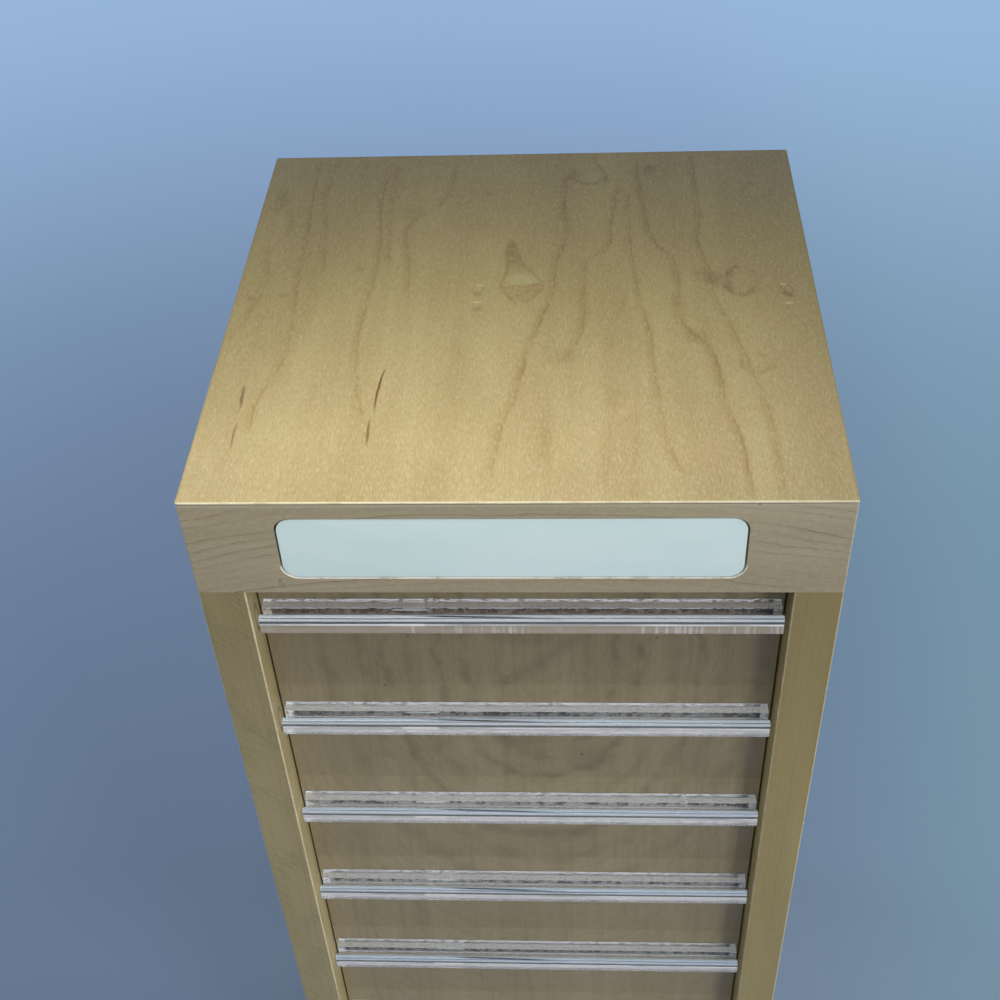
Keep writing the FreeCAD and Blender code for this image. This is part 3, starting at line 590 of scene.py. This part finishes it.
def stile_maple(name, pith, seed, tones=STILE_TONES, period=3.4, warp=5.0, curl=0.0, leaf_marks=(), worn_at=None):
    """Maple of an upright board. A front stile, at worn_at along x, has painted shade towards the cap and is
    worn pale along its inner arris.
    """
    graph, colour, fibre, fleck = solid_maple(name, 2, pith, period, seed, tones, warp=warp, contrast=0.4,
                                              curl=curl)
    if worn_at is not None:
        # Painted shade: darker towards the cap
        colour = painted_shade_under_cap(graph, colour)
        rub = graph.noise((9.0, 9.0, 14.0), detail=3.0, seed=seed + 9.0)
        rub = graph.times(graph.fade(rub, 0.35, 0.65, 0.05, 0.5), graph.band(graph.x, worn_at, 0.9, 0.3),
                          graph.fade(graph.y, FRONT + 0.9, FRONT + 0.4))
        colour = graph.mix(rub, colour, (0.60, 0.54, 0.36))
    # Leaf-shaped dark marks with darker rims on the inner face, beside the ends of the rails
    for y, z in leaf_marks:
        radius = radius_from(graph, graph.join(graph.y, graph.z, 0.0), y, z, 2.6, 6.5)
        inner = graph.fade(graph.normal_x, 0.7, 0.95)
        leaf_mark = graph.times(graph.fade(radius, 1.0, 0.6), inner, 0.35)
        colour = graph.mix(leaf_mark, colour, (0.30, 0.22, 0.16))
        rim = graph.times(graph.band(radius, 1.0, 0.35, 0.05), inner, 0.75)
        colour = graph.mix(rim, colour, (0.07, 0.05, 0.025))
    return maple_finish(graph, colour, fibre, fleck)


def panel_veneer():
    """Semi-gloss veneer of the display panel, with a faint oval figure that opens towards the cap."""
    graph, colour, fibre, fleck = solid_maple("panel_veneer", 2, (12.0, -60.0), 3.0, 60.0, PANEL_TONES,
                                              warp=5.0, fine=0.5, contrast=0.18)
    streak = graph.noise(stretched(2, 3.0, 70.0), detail=3.0, roughness=0.65, seed=67.0)
    colour = graph.mix(graph.fade(streak, 0.45, 0.7, 0.0, 0.16), colour, (0.42, 0.36, 0.25))
    colour = graph.mix(graph.fade(streak, 0.46, 0.3, 0.0, 0.2), colour, PANEL_TONES[2])

    # The figure: half ovals under a middle, straight above it, each band worn away in places
    drift = graph.noise((26.0, 26.0, 18.0), detail=3.0, roughness=0.55, seed=62.0)
    below = graph.math("DIVIDE", graph.math("MINIMUM", graph.math("SUBTRACT", graph.z, 505.0), 0.0), 1.9)
    aside = graph.math("SUBTRACT", graph.x, 8.0)
    radius = graph.length(graph.join(aside, below, 0.0))
    radius = graph.math("ADD", radius, graph.linear(drift, 14.0, -7.0))
    patchy = graph.fade(graph.noise((16.0, 16.0, 14.0), detail=2.0, seed=63.0), 0.32, 0.62, 0.15, 1.0)
    bands = 0.0
    for middle, width, strength in PANEL_OVALS:
        bands = graph.most(graph.band(radius, middle, width * 1.6, 0.0, strength), bands)
    ripple = graph.math("SINE", graph.math("MULTIPLY", radius, 2.0 * math.pi / 5.5))
    bands = graph.most(bands, graph.fade(ripple, 0.2, 1.0, 0.0, 0.22))
    colour = graph.mix(graph.times(bands, patchy, 0.62), colour, PANEL_TONES[2])
    drifted = graph.linear(drift, 12.0, graph.math("SUBTRACT", graph.x, 6.0))
    drifted = graph.join(drifted, graph.z, 0.0)
    for *oval, strength in PANEL_PATCHES:
        spot = graph.fade(radius_from(graph, drifted, *oval), 1.2, 0.4, 0.0, strength)
        colour = graph.mix(graph.times(spot, 0.4), colour, PANEL_TONES[2])
    # A slanted band crosses from the first rail to the second
    slant = graph.math("SUBTRACT", graph.math("SUBTRACT", graph.x, 24.0),
                       graph.math("MULTIPLY", graph.math("SUBTRACT", graph.z, 521.0), 1.05))
    slant = graph.math("ADD", slant, graph.linear(drift, 8.0, -4.0))
    slant = graph.times(graph.band(slant, 0.0, 8.0, 1.0), graph.fade(graph.z, 484.0, 492.0))
    colour = graph.mix(graph.times(slant, 0.3), colour, PANEL_TONES[2])
    face = graph.join(graph.x, graph.z, 0.0)
    for x, z, size in PANEL_PIPS:
        pip = radius_from(graph, face, x, z, size, size)
        colour = graph.mix(graph.fade(pip, 1.3, 0.3, 0.0, 0.7), colour, (0.10, 0.07, 0.03))

    # Painted light: a slightly paler strip just above each rail, the part of the panel that the rail above
    # leaves unshaded
    steps = graph.math("DIVIDE", graph.math("SUBTRACT", graph.z, FIRST_FLANGE_TOP - RAIL_STEP), RAIL_STEP)
    above = graph.math("MULTIPLY", graph.math("FRACT", steps), RAIL_STEP)
    painted_lit_strip = graph.times(graph.fade(above, 13.0, 11.0),
                        graph.fade(graph.y, PANEL_FRONT + 0.2, PANEL_FRONT + 0.05))
    colour = graph.mix(painted_lit_strip, colour, (1.12, 1.13, 1.15), blend="MULTIPLY")
    # Painted shade: the panel darkens towards the cap
    return maple_finish(graph, painted_shade_under_cap(graph, colour), fibre, fleck, coat=0.2)


def plywood():
    """Birch ply with its plies on the edges."""
    graph = Graph("birch_ply")
    tone = graph.noise((60.0, 16.0, 30.0), detail=3.0, seed=21.0)
    colour = graph.mix(graph.fade(tone, 0.3, 0.7), (0.46, 0.33, 0.185), (0.60, 0.46, 0.28))
    fibre = graph.noise((14.0, 0.6, 0.6), detail=3.0, seed=22.0)
    colour = graph.mix(graph.fade(fibre, 0.5, 0.75, 0.0, 0.25), colour, (0.30, 0.19, 0.09))
    ply = graph.math("FRACT", graph.math("DIVIDE", graph.z, 3.0))
    edge = graph.fade(graph.math("ABSOLUTE", graph.normal_z), 0.6, 0.3)
    dark = graph.times(graph.band(ply, 0.5, 0.27, 0.21), edge, 0.55)
    colour = graph.mix(dark, colour, (0.27, 0.165, 0.08))
    graph.set(Base_Color=colour, Normal=graph.bump(fibre, 0.03))
    graph.set(Roughness=graph.fade(fibre, 0.3, 0.7, 0.5, 0.66))
    return graph.material


# Other materials

# Parts of a rail along y: its back face, and its lip's middle and radius
RAIL_BACK = -114.8
LIP_MIDDLE = -125.75
LIP_RADIUS = 1.65

# Middle along x of the painted lamp highlight on the rails
GLEAM = -45.0


def drop_below_flange(graph, room_above=10.0):
    """How far a place on a rail lies below the top of that rail's flange, in millimetres."""
    steps = graph.math("DIVIDE", graph.math("SUBTRACT", FIRST_FLANGE_TOP + room_above, graph.z), RAIL_STEP)
    return graph.linear(graph.math("FRACT", steps), RAIL_STEP, -room_above)


def below_first_rail(graph):
    return graph.fade(graph.z, 520.0, 510.0)


def tape_tone(graph, drop):
    """Tone of the tape behind a rail, and the noise of its dashes.

    White dashes run along its top, with dark spots and grey gaps lower down.
    """
    blocks = graph.noise((3.4, 30.0, 1.2), detail=2.0, roughness=0.65, seed=41.0)
    upper = graph.times(graph.fade(drop, 3.6, 3.1), graph.fade(drop, -0.3, 0.1),
                        graph.fade(blocks, 0.42, 0.49))
    spots = graph.noise((2.4, 30.0, 2.6), detail=2.0, roughness=0.6, seed=42.0)
    lower = graph.times(graph.fade(drop, 2.7, 3.2), graph.fade(drop, 6.6, 6.2))
    dark = graph.times(lower, graph.fade(spots, 0.50, 0.60))
    milky = graph.times(lower, graph.fade(spots, 0.46, 0.38))
    colour = graph.mix(below_first_rail(graph), (0.47, 0.38, 0.26), (0.62, 0.60, 0.56))
    colour = graph.mix(graph.times(dark, 0.75), colour, (0.17, 0.13, 0.075))
    colour = graph.mix(graph.times(milky, 0.5), colour, (0.80, 0.78, 0.78))
    colour = graph.mix(graph.times(lower, graph.fade(drop, 5.6, 6.0), 0.5), colour, (0.75, 0.68, 0.62))
    # Painted highlight: the bright bar of a lamp's reflection at GLEAM, seen through the flange
    gleam = graph.times(graph.band(graph.x, GLEAM, 9.0, 6.0), graph.fade(drop, 3.6, 3.9),
                        graph.fade(drop, 4.7, 4.4))
    colour = graph.mix(gleam, colour, (0.97, 0.97, 0.95))
    return graph.mix(upper, colour, (0.97, 0.96, 0.96)), blocks


def clear_acrylic():
    """Acrylic with sawn ends, a speckled top on its flange and painted bands of reflected light and shade
    along its rounded lip.

    Its back face carries the tone of the tape, because from above that face mirrors the flange.
    """
    graph = Graph("clear_acrylic")
    drop = drop_below_flange(graph)
    below_first = below_first_rail(graph)
    ends = graph.fade(graph.math("ABSOLUTE", graph.normal_x), 0.6, 0.9)
    under = graph.fade(drop, 7.25, 7.35)
    behind = graph.times(graph.fade(graph.y, RAIL_BACK - 0.15, RAIL_BACK - 0.05),
                         graph.fade(drop, 7.3, 7.1), graph.fade(drop, 0.0, 0.1))
    saw_marks = graph.noise((0.8, 60.0, 60.0), detail=3.0, roughness=0.75, seed=31.0)

    # Flange: an uneven lilac haze with specks, which thins out towards its back edge
    flange = graph.times(graph.band(drop, 0.0, 0.12, 0.05), graph.fade(graph.y, -120.6, -119.9))
    patch = graph.noise((2.6, 1.2, 40.0), detail=3.0, roughness=0.7, seed=33.0)
    speck = graph.noise((1.2, 0.7, 8.0), detail=2.0, roughness=0.7, seed=37.0)
    forward = graph.fade(graph.y, -116.2, -117.2)
    sparkle = graph.times(flange, graph.fade(speck, 0.54, 0.62), forward)
    haze = graph.times(flange, graph.fade(patch, 0.34, 0.62, 0.42, 0.88),
                       graph.fade(forward, 0.0, 1.0, 0.1, 1.0))
    haze = graph.most(haze, graph.times(sparkle, 0.85), graph.times(ends, 0.08))
    haze = graph.most(haze, graph.times(under, graph.fade(saw_marks, 0.45, 0.62, 0.03, 0.2)), behind)

    # Lip: painted reflections, two blue-white bands round its top with a teal streak between them, and under
    # them a painted dark band and a painted white highlight line, and a clear front that is frosted on all
    # rails but the first
    across = graph.math("DIVIDE", graph.math("SUBTRACT", graph.y, LIP_MIDDLE), LIP_RADIUS)
    crown = graph.times(graph.fade(graph.y, -123.9, -124.1), graph.fade(drop, 0.3, 0.05))
    part = graph.fade(graph.noise((60.0, 60.0, 60.0), detail=1.0, seed=43.0), 0.35, 0.6, 0.25, 1.0)
    sway = graph.linear(graph.noise((90.0, 60.0, 60.0), detail=1.0, seed=38.0), 0.5, -0.25)
    swayed = graph.math("ADD", across, sway)
    bead = graph.times(crown, graph.fade(across, 0.80, 0.55), graph.fade(swayed, -0.52, -0.4))
    streak = graph.times(crown, graph.band(swayed, -0.58, 0.2, 0.1), part, 0.75)
    # A painted dark reflection streak crosses the lip's top on a slant, a little left of the middle
    slant = graph.math("ADD", across, graph.linear(graph.x, 0.0115, 0.43))
    slant = graph.times(crown, graph.band(slant, 0.0, 0.3, 0.12), graph.fade(graph.x, -50.0, -30.0),
                        graph.fade(graph.x, 24.0, -6.0))
    low_bead = graph.times(crown, graph.fade(swayed, -0.66, -0.76))
    fore = graph.fade(graph.y, -127.2, -127.35)
    shade = graph.times(fore, graph.band(drop, 0.7, 0.8, 0.5))
    strength = graph.fade(graph.noise((35.0, 60.0, 60.0), detail=2.0, seed=44.0), 0.35, 0.6, 0.4, 0.95)
    line = graph.times(fore, graph.band(drop, 2.05, 0.62, 0.4), strength)
    # Painted highlight: a lamp's bright bar on the lip's front at GLEAM
    bright = graph.times(fore, graph.band(graph.x, GLEAM, 11.0, 6.0), graph.band(drop, 2.3, 1.1, 0.8))
    line = graph.most(line, bright)
    upright = graph.noise((1.5, 80.0, 80.0), detail=2.0, roughness=0.6, seed=45.0)
    region = graph.fade(graph.noise((30.0, 80.0, 80.0), detail=1.0, seed=46.0), 0.4, 0.6)
    front = graph.times(fore, graph.fade(drop, 2.4, 2.8))
    frost = graph.times(below_first, graph.fade(drop, 2.6, 6.4, 0.62, 0.25))
    upright = graph.times(graph.fade(upright, 0.48, 0.68), region)
    marked = graph.most(graph.fade(below_first, 0.0, 1.0, 0.7, 0.0), frost)
    haze = graph.most(haze, graph.times(bead, 0.82), graph.times(low_bead, 0.62), graph.times(streak, 0.5),
                      slant, graph.times(shade, 0.3), line, graph.times(front, marked))

    # Painted light: the first rail's haze is paler than the lower rails', making up for the shade of the cap
    # above it
    haze_tone_with_painted_light = graph.mix(below_first, (0.93, 0.92, 1.0), (0.78, 0.83, 0.90))
    haze_tone_with_painted_light = graph.mix(graph.times(flange, graph.fade(speck, 0.46, 0.36), 0.6), haze_tone_with_painted_light, (0.30, 0.29, 0.30))
    tint = graph.mix(graph.most(sparkle, line), haze_tone_with_painted_light, (0.95, 0.94, 0.95))
    tint = graph.mix(front, tint, (0.84, 0.79, 0.77))
    tint = graph.mix(graph.most(bead, low_bead), tint, (0.69, 0.84, 1.0))
    tint = graph.mix(haze, (0.985, 0.99, 1.0), tint)
    tint = graph.mix(graph.most(shade, streak), tint, (0.22, 0.26, 0.28))
    tint = graph.mix(slant, tint, (0.035, 0.055, 0.075))
    brown = graph.mix(upright, (0.50, 0.43, 0.33), (0.72, 0.67, 0.64))
    tint = graph.mix(graph.times(front, graph.fade(below_first, 1.0, 0.0)), tint, brown)
    graph.set(Base_Color=graph.mix(behind, tint, tape_tone(graph, drop)[0]))
    rough = graph.most(ends, graph.times(under, 0.3), flange,
                       graph.times(graph.most(bead, low_bead), 0.4), behind)
    graph.set(Roughness=graph.linear(rough, 0.3, 0.02))
    graph.set(Transmission_Weight=graph.math("SUBTRACT", 1.0, haze))
    marks = graph.times(saw_marks, graph.most(ends, graph.times(flange, 0.5)))
    graph.set(IOR=1.49, Normal=graph.bump(marks, 0.02))
    graph.pass_lamp_light((0.93, 0.95, 0.97))
    return graph.material


def bonding_tape():
    """Tape that bonds a rail to the panel, in the tone that shows through the rail."""
    graph = Graph("bonding_tape")
    colour, blocks = tape_tone(graph, drop_below_flange(graph))
    graph.set(Base_Color=colour, Roughness=graph.fade(blocks, 0.3, 0.7, 0.25, 0.5))
    graph.set(Normal=graph.bump(blocks, 0.05))
    return graph.material


def plate_plastic():
    """Pale ice-green engraving stock, satin, with faint clouds and a few specks."""
    graph = Graph("plate_plastic")
    cloud = graph.noise((40.0, 40.0, 18.0), detail=2.0, seed=51.0)
    colour = graph.mix(graph.fade(cloud, 0.3, 0.7), (0.70, 0.87, 0.865), (0.745, 0.905, 0.90))
    rub = graph.noise((24.0, 6.0, 3.0), detail=2.0, roughness=0.5, seed=52.0)
    colour = graph.mix(graph.fade(rub, 0.62, 0.8, 0.0, 0.1), colour, (0.60, 0.72, 0.70))
    speck = graph.noise((2.2, 2.2, 2.2), detail=0.0, seed=53.0)
    colour = graph.mix(graph.fade(speck, 0.865, 0.88, 0.0, 0.45), colour, (0.30, 0.32, 0.30))
    fine = graph.noise((0.5, 0.5, 0.5), detail=2.0, seed=54.0)
    graph.set(Base_Color=colour, Roughness=graph.fade(fine, 0.3, 0.7, 0.30, 0.38))
    graph.set(Normal=graph.bump(fine, 0.004), Coat_Weight=0.15, Coat_Roughness=0.2)
    return graph.material


def metal(name, colour, roughness, spacing, seed):
    graph = Graph(name)
    scratches = graph.noise(spacing, detail=4.0, roughness=0.7, seed=seed)
    darker = tuple(channel * 0.72 for channel in colour)
    graph.set(Base_Color=graph.mix(graph.fade(scratches, 0.35, 0.7), darker, colour))
    graph.set(Roughness=graph.fade(scratches, 0.3, 0.7, roughness - 0.08, roughness + 0.12))
    graph.set(Normal=graph.bump(scratches, 0.008), Metallic=1.0)
    return graph.material


def moulded(name, colour, roughness, seed):
    """Moulded plastic or rubber with a fine spark-eroded texture."""
    graph = Graph(name)
    fine = graph.noise((0.35, 0.35, 0.35), detail=2.0, seed=seed)
    broad = graph.noise((9.0, 9.0, 9.0), detail=2.0, seed=seed + 1.0)
    paler = tuple(min(1.0, channel * 1.5 + 0.01) for channel in colour)
    graph.set(Base_Color=graph.mix(graph.fade(broad, 0.3, 0.8), colour, paler))
    graph.set(Roughness=graph.fade(fine, 0.3, 0.7, roughness - 0.06, roughness + 0.06))
    graph.set(Normal=graph.bump(fine, 0.04))
    return graph.material


# Leaf-shaped dark marks of the left front stile as (y, z)
LEFT_LEAF_MARKS = ((-119.6, 538.5), (-119.6, 472.0))


def dress(frame):
    """Gives every node of the frame its finish."""
    ply = plywood()
    steel = metal("zinc_steel", (0.66, 0.66, 0.63), 0.34, (0.5, 0.5, 0.5), 81.0)
    plated = metal("nickel_plate", (0.70, 0.69, 0.66), 0.18, (0.8, 0.8, 0.8), 82.0)
    brass = metal("turned_brass", (0.78, 0.57, 0.27), 0.26, (4.0, 4.0, 0.3), 83.0)
    acrylic = clear_acrylic()
    side_left = stile_maple("side_veneer_left", (-300.0, 30.0), 90.0)
    side_right = stile_maple("side_veneer_right", (300.0, -20.0), 95.0)
    finishes = {
        "top_veneer": top_sheet(),
        "top_core": ply,
        "front_header_board": front_header(),
        "rear_header_board": plain_header("header_maple_rear", 0, (95.0, 455.0), 74.0),
        "left_header_board": plain_header("header_maple_left", 1, (-90.0, 480.0), 76.0),
        "right_header_board": plain_header("header_maple_right", 1, (90.0, 460.0), 78.0),
        "left_front_stile": stile_maple("stile_maple_left", (-300.0, -60.0), 61.0, curl=0.36,
                                        leaf_marks=LEFT_LEAF_MARKS, worn_at=-STILE_INNER),
        "right_front_stile": stile_maple("stile_maple_right", (420.0, -90.0), 64.0, RIGHT_STILE_TONES,
                                         period=2.6, warp=3.0, worn_at=STILE_INNER),
        "left_rear_stile": stile_maple("stile_maple_left_rear", (-150.0, 90.0), 66.0),
        "right_rear_stile": stile_maple("stile_maple_right_rear", (80.0, 190.0), 68.0),
        "left_side_panel": side_left,
        "right_side_panel": side_right,
        "display_panel": panel_veneer(),
        "rear_door": stile_maple("door_veneer", (20.0, 160.0), 99.0, period=5.0, warp=16.0),
        "left_cap_cleat": side_left,
        "right_cap_cleat": side_right,
        "panel_cleats": side_left,
        "storage_shelf_1": ply,
        "storage_shelf_2": ply,
        "base_board": ply,
        "rail_tapes": bonding_tape(),
        "sign_plate": plate_plastic(),
        "sign_discs": steel,
        "sign_magnets": plated,
        "catch_magnet": plated,
        "catch_strike": steel,
        "lower_pivot_bushing": brass,
        "upper_pivot_bushing": brass,
        "lower_pivot_pin": steel,
        "upper_pivot_pin": steel,
        "catch_body": moulded("catch_plastic", (0.035, 0.03, 0.028), 0.45, 84.0),
        "rubber_feet": moulded("foot_rubber", (0.02, 0.02, 0.02), 0.6, 86.0),
    }
    for name, item in frame["nodes"].items():
        if name.startswith("card_rail"):
            finish = acrylic
        elif name.endswith(("screws", "screw")):
            finish = steel
        else:
            finish = finishes[name]
        item.data.materials.clear()
        item.data.materials.append(finish)


# Width of the bevels in mm, and the boards that have it
BEVELS = (
    (0.25, ("sign_plate", "rear_header_board", "left_header_board", "right_header_board")),
    (0.28, ("top_veneer",)),
    (0.3, ("left_front_stile", "display_panel")),
    (0.35, ("front_header_board",)),
    (0.4, ("right_front_stile", "left_rear_stile", "right_rear_stile")),
    (0.5, ("rear_door", "base_board")),
)


def soften(item, width):
    """Breaks the sharp edges of a node with a small bevel."""
    weld = item.modifiers.new("weld", "WELD")
    weld.merge_threshold = 1e-6
    bevel = item.modifiers.new("arris", "BEVEL")
    bevel.width = width
    bevel.segments = 2
    bevel.limit_method = "ANGLE"
    bevel.angle_limit = math.radians(40.0)
    item.modifiers.new("normals", "WEIGHTED_NORMAL")


# Studio

BACKDROP = (0.31, 0.47, 0.705)
EVEN_LIGHT = 0.12
FLOOR_RADII = (0.6, 2.0, 6.0, 14.0)
FLOOR_CORNERS = 96


def make_floor():
    """A pale round floor under the case, blue to the eye and near white in the light it gives back."""
    mesh = bpy.data.meshes.new("studio_floor")
    shape = bmesh.new()
    turns = [2.0 * math.pi * step / FLOOR_CORNERS for step in range(FLOOR_CORNERS)]
    rings = [[shape.verts.new((radius * math.cos(turn), radius * math.sin(turn), 0.0)) for turn in turns]
             for radius in FLOOR_RADII]
    shape.faces.new(rings[0])
    for inner, outer in zip(rings, rings[1:]):
        for step in range(FLOOR_CORNERS):
            after = (step + 1) % FLOOR_CORNERS
            shape.faces.new((inner[step], outer[step], outer[after], inner[after]))
    shape.to_mesh(mesh)
    shape.free()
    floor = bpy.data.objects.new("studio_floor", mesh)
    bpy.context.scene.collection.objects.link(floor)
    graph = Graph("studio_floor")
    cloud = graph.noise((900.0, 900.0, 900.0), detail=1.0, seed=1.0)
    seen = graph.mix(cloud, (0.32, 0.465, 0.72), (0.36, 0.505, 0.76))
    # Painted sheen towards the right; darker towards the near left
    seen = graph.mix(graph.fade(graph.x, 130.0, 420.0, 0.0, 0.75), seen, (0.395, 0.675, 0.83))
    near_left = graph.times(graph.fade(graph.x, -80.0, -260.0), graph.fade(graph.y, 40.0, -160.0))
    seen = graph.mix(near_left, seen, (0.19, 0.295, 0.515))
    direct = graph.seen_directly()
    graph.set(Base_Color=graph.mix(direct, (0.56, 0.59, 0.63), seen), Roughness=0.75)
    # Further out the floor takes the backdrop's colour, so that no horizon shows
    far = graph.fade(graph.length(graph.place), 350.0, 2050.0)
    backdrop = graph.fill(graph.node("ShaderNodeEmission"), BACKDROP)
    graph.show(graph.mix_shader(graph.times(far, direct), graph.shader.outputs["BSDF"], backdrop))
    mesh.materials.append(graph.material)


def make_lamp(name, place, target, size, power, colour, mirrored=True):
    """An area lamp, with its power in watts. Where it isn't mirrored, gloss doesn't show it."""
    light = bpy.data.lights.new(name, "AREA")
    light.shape = "RECTANGLE"
    light.size, light.size_y = size
    light.energy = power
    light.color = colour
    lamp = bpy.data.objects.new(name, light)
    lamp.location = place
    aim = Vector(target) - Vector(place)
    lamp.rotation_euler = aim.to_track_quat("-Z", "Y").to_euler()
    lamp.visible_camera = False
    lamp.visible_glossy = mirrored
    bpy.context.scene.collection.objects.link(lamp)


def make_world():
    """Faint even light, with the backdrop for the rays that show it."""
    world = bpy.data.worlds.new("studio")
    bpy.context.scene.world = world
    tree = Tree(world)
    even = tree.fill(tree.node("ShaderNodeBackground"), (0.94, 0.97, 1.0), EVEN_LIGHT)
    backdrop = tree.fill(tree.node("ShaderNodeBackground"), BACKDROP, 1.0)
    output = tree.node("ShaderNodeOutputWorld")
    tree.put(output.inputs["Surface"], tree.mix_shader(tree.seen_directly(), even, backdrop))


def make_light():
    cool = (0.98, 0.98, 1.0)
    make_world()
    make_lamp("key_top", (-0.05, -0.155, 0.77), (-0.05, -0.13, 0.61), (0.32, 0.08), 0.44, (1.0, 0.97, 0.91))
    make_lamp("key_front", (-0.10, -0.80, 1.20), (0.0, -0.1, 0.5), (0.6, 0.5), 1.3, (1.0, 0.98, 0.94))
    make_lamp("fill_front", (1.5, -1.8, 0.55), (0.0, 0.0, 0.4), (0.75, 0.95), 15.0, (0.99, 0.98, 1.0))
    make_lamp("fill_left", (-2.6, 0.3, 0.60), (0.0, 0.0, 0.4), (1.8, 0.9), 22.0, cool)
    make_lamp("fill_right", (2.6, -0.5, 0.60), (0.0, 0.0, 0.4), (1.8, 0.9), 38.0, cool)
    make_lamp("fill_back", (0.6, 2.6, 0.40), (0.0, 0.0, 0.35), (1.8, 0.6), 26.0, cool, mirrored=False)


# Camera that the photograph was taken with: focal length in mm on a 36 mm sensor, place and turns
CAMERA_LENS = 52.05
CAMERA_PLACE = (0.02548, -0.51826, 0.97351)
CAMERA_YAW = 4.408
CAMERA_TILT = 47.221
CAMERA_ROLL = -3.200


def make_camera():
    data = bpy.data.cameras.new("camera")
    data.sensor_width = 36.0
    data.lens = CAMERA_LENS
    data.clip_start = 0.01
    camera = bpy.data.objects.new("camera", data)
    yaw = Matrix.Rotation(math.radians(CAMERA_YAW), 4, "Z")
    tilt = Matrix.Rotation(math.radians(CAMERA_TILT), 4, "X")
    roll = Matrix.Rotation(math.radians(CAMERA_ROLL), 4, "Z")
    camera.matrix_world = Matrix.Translation(CAMERA_PLACE) @ yaw @ tilt @ roll
    bpy.context.scene.collection.objects.link(camera)
    bpy.context.scene.camera = camera


def main():
    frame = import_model()
    bpy.context.scene.view_settings.view_transform = "Standard"
    dress(frame)
    for width, names in BEVELS:
        for name in names:
            soften(frame["nodes"][name], width * MM)
    make_floor()
    make_light()
    make_camera()


main()
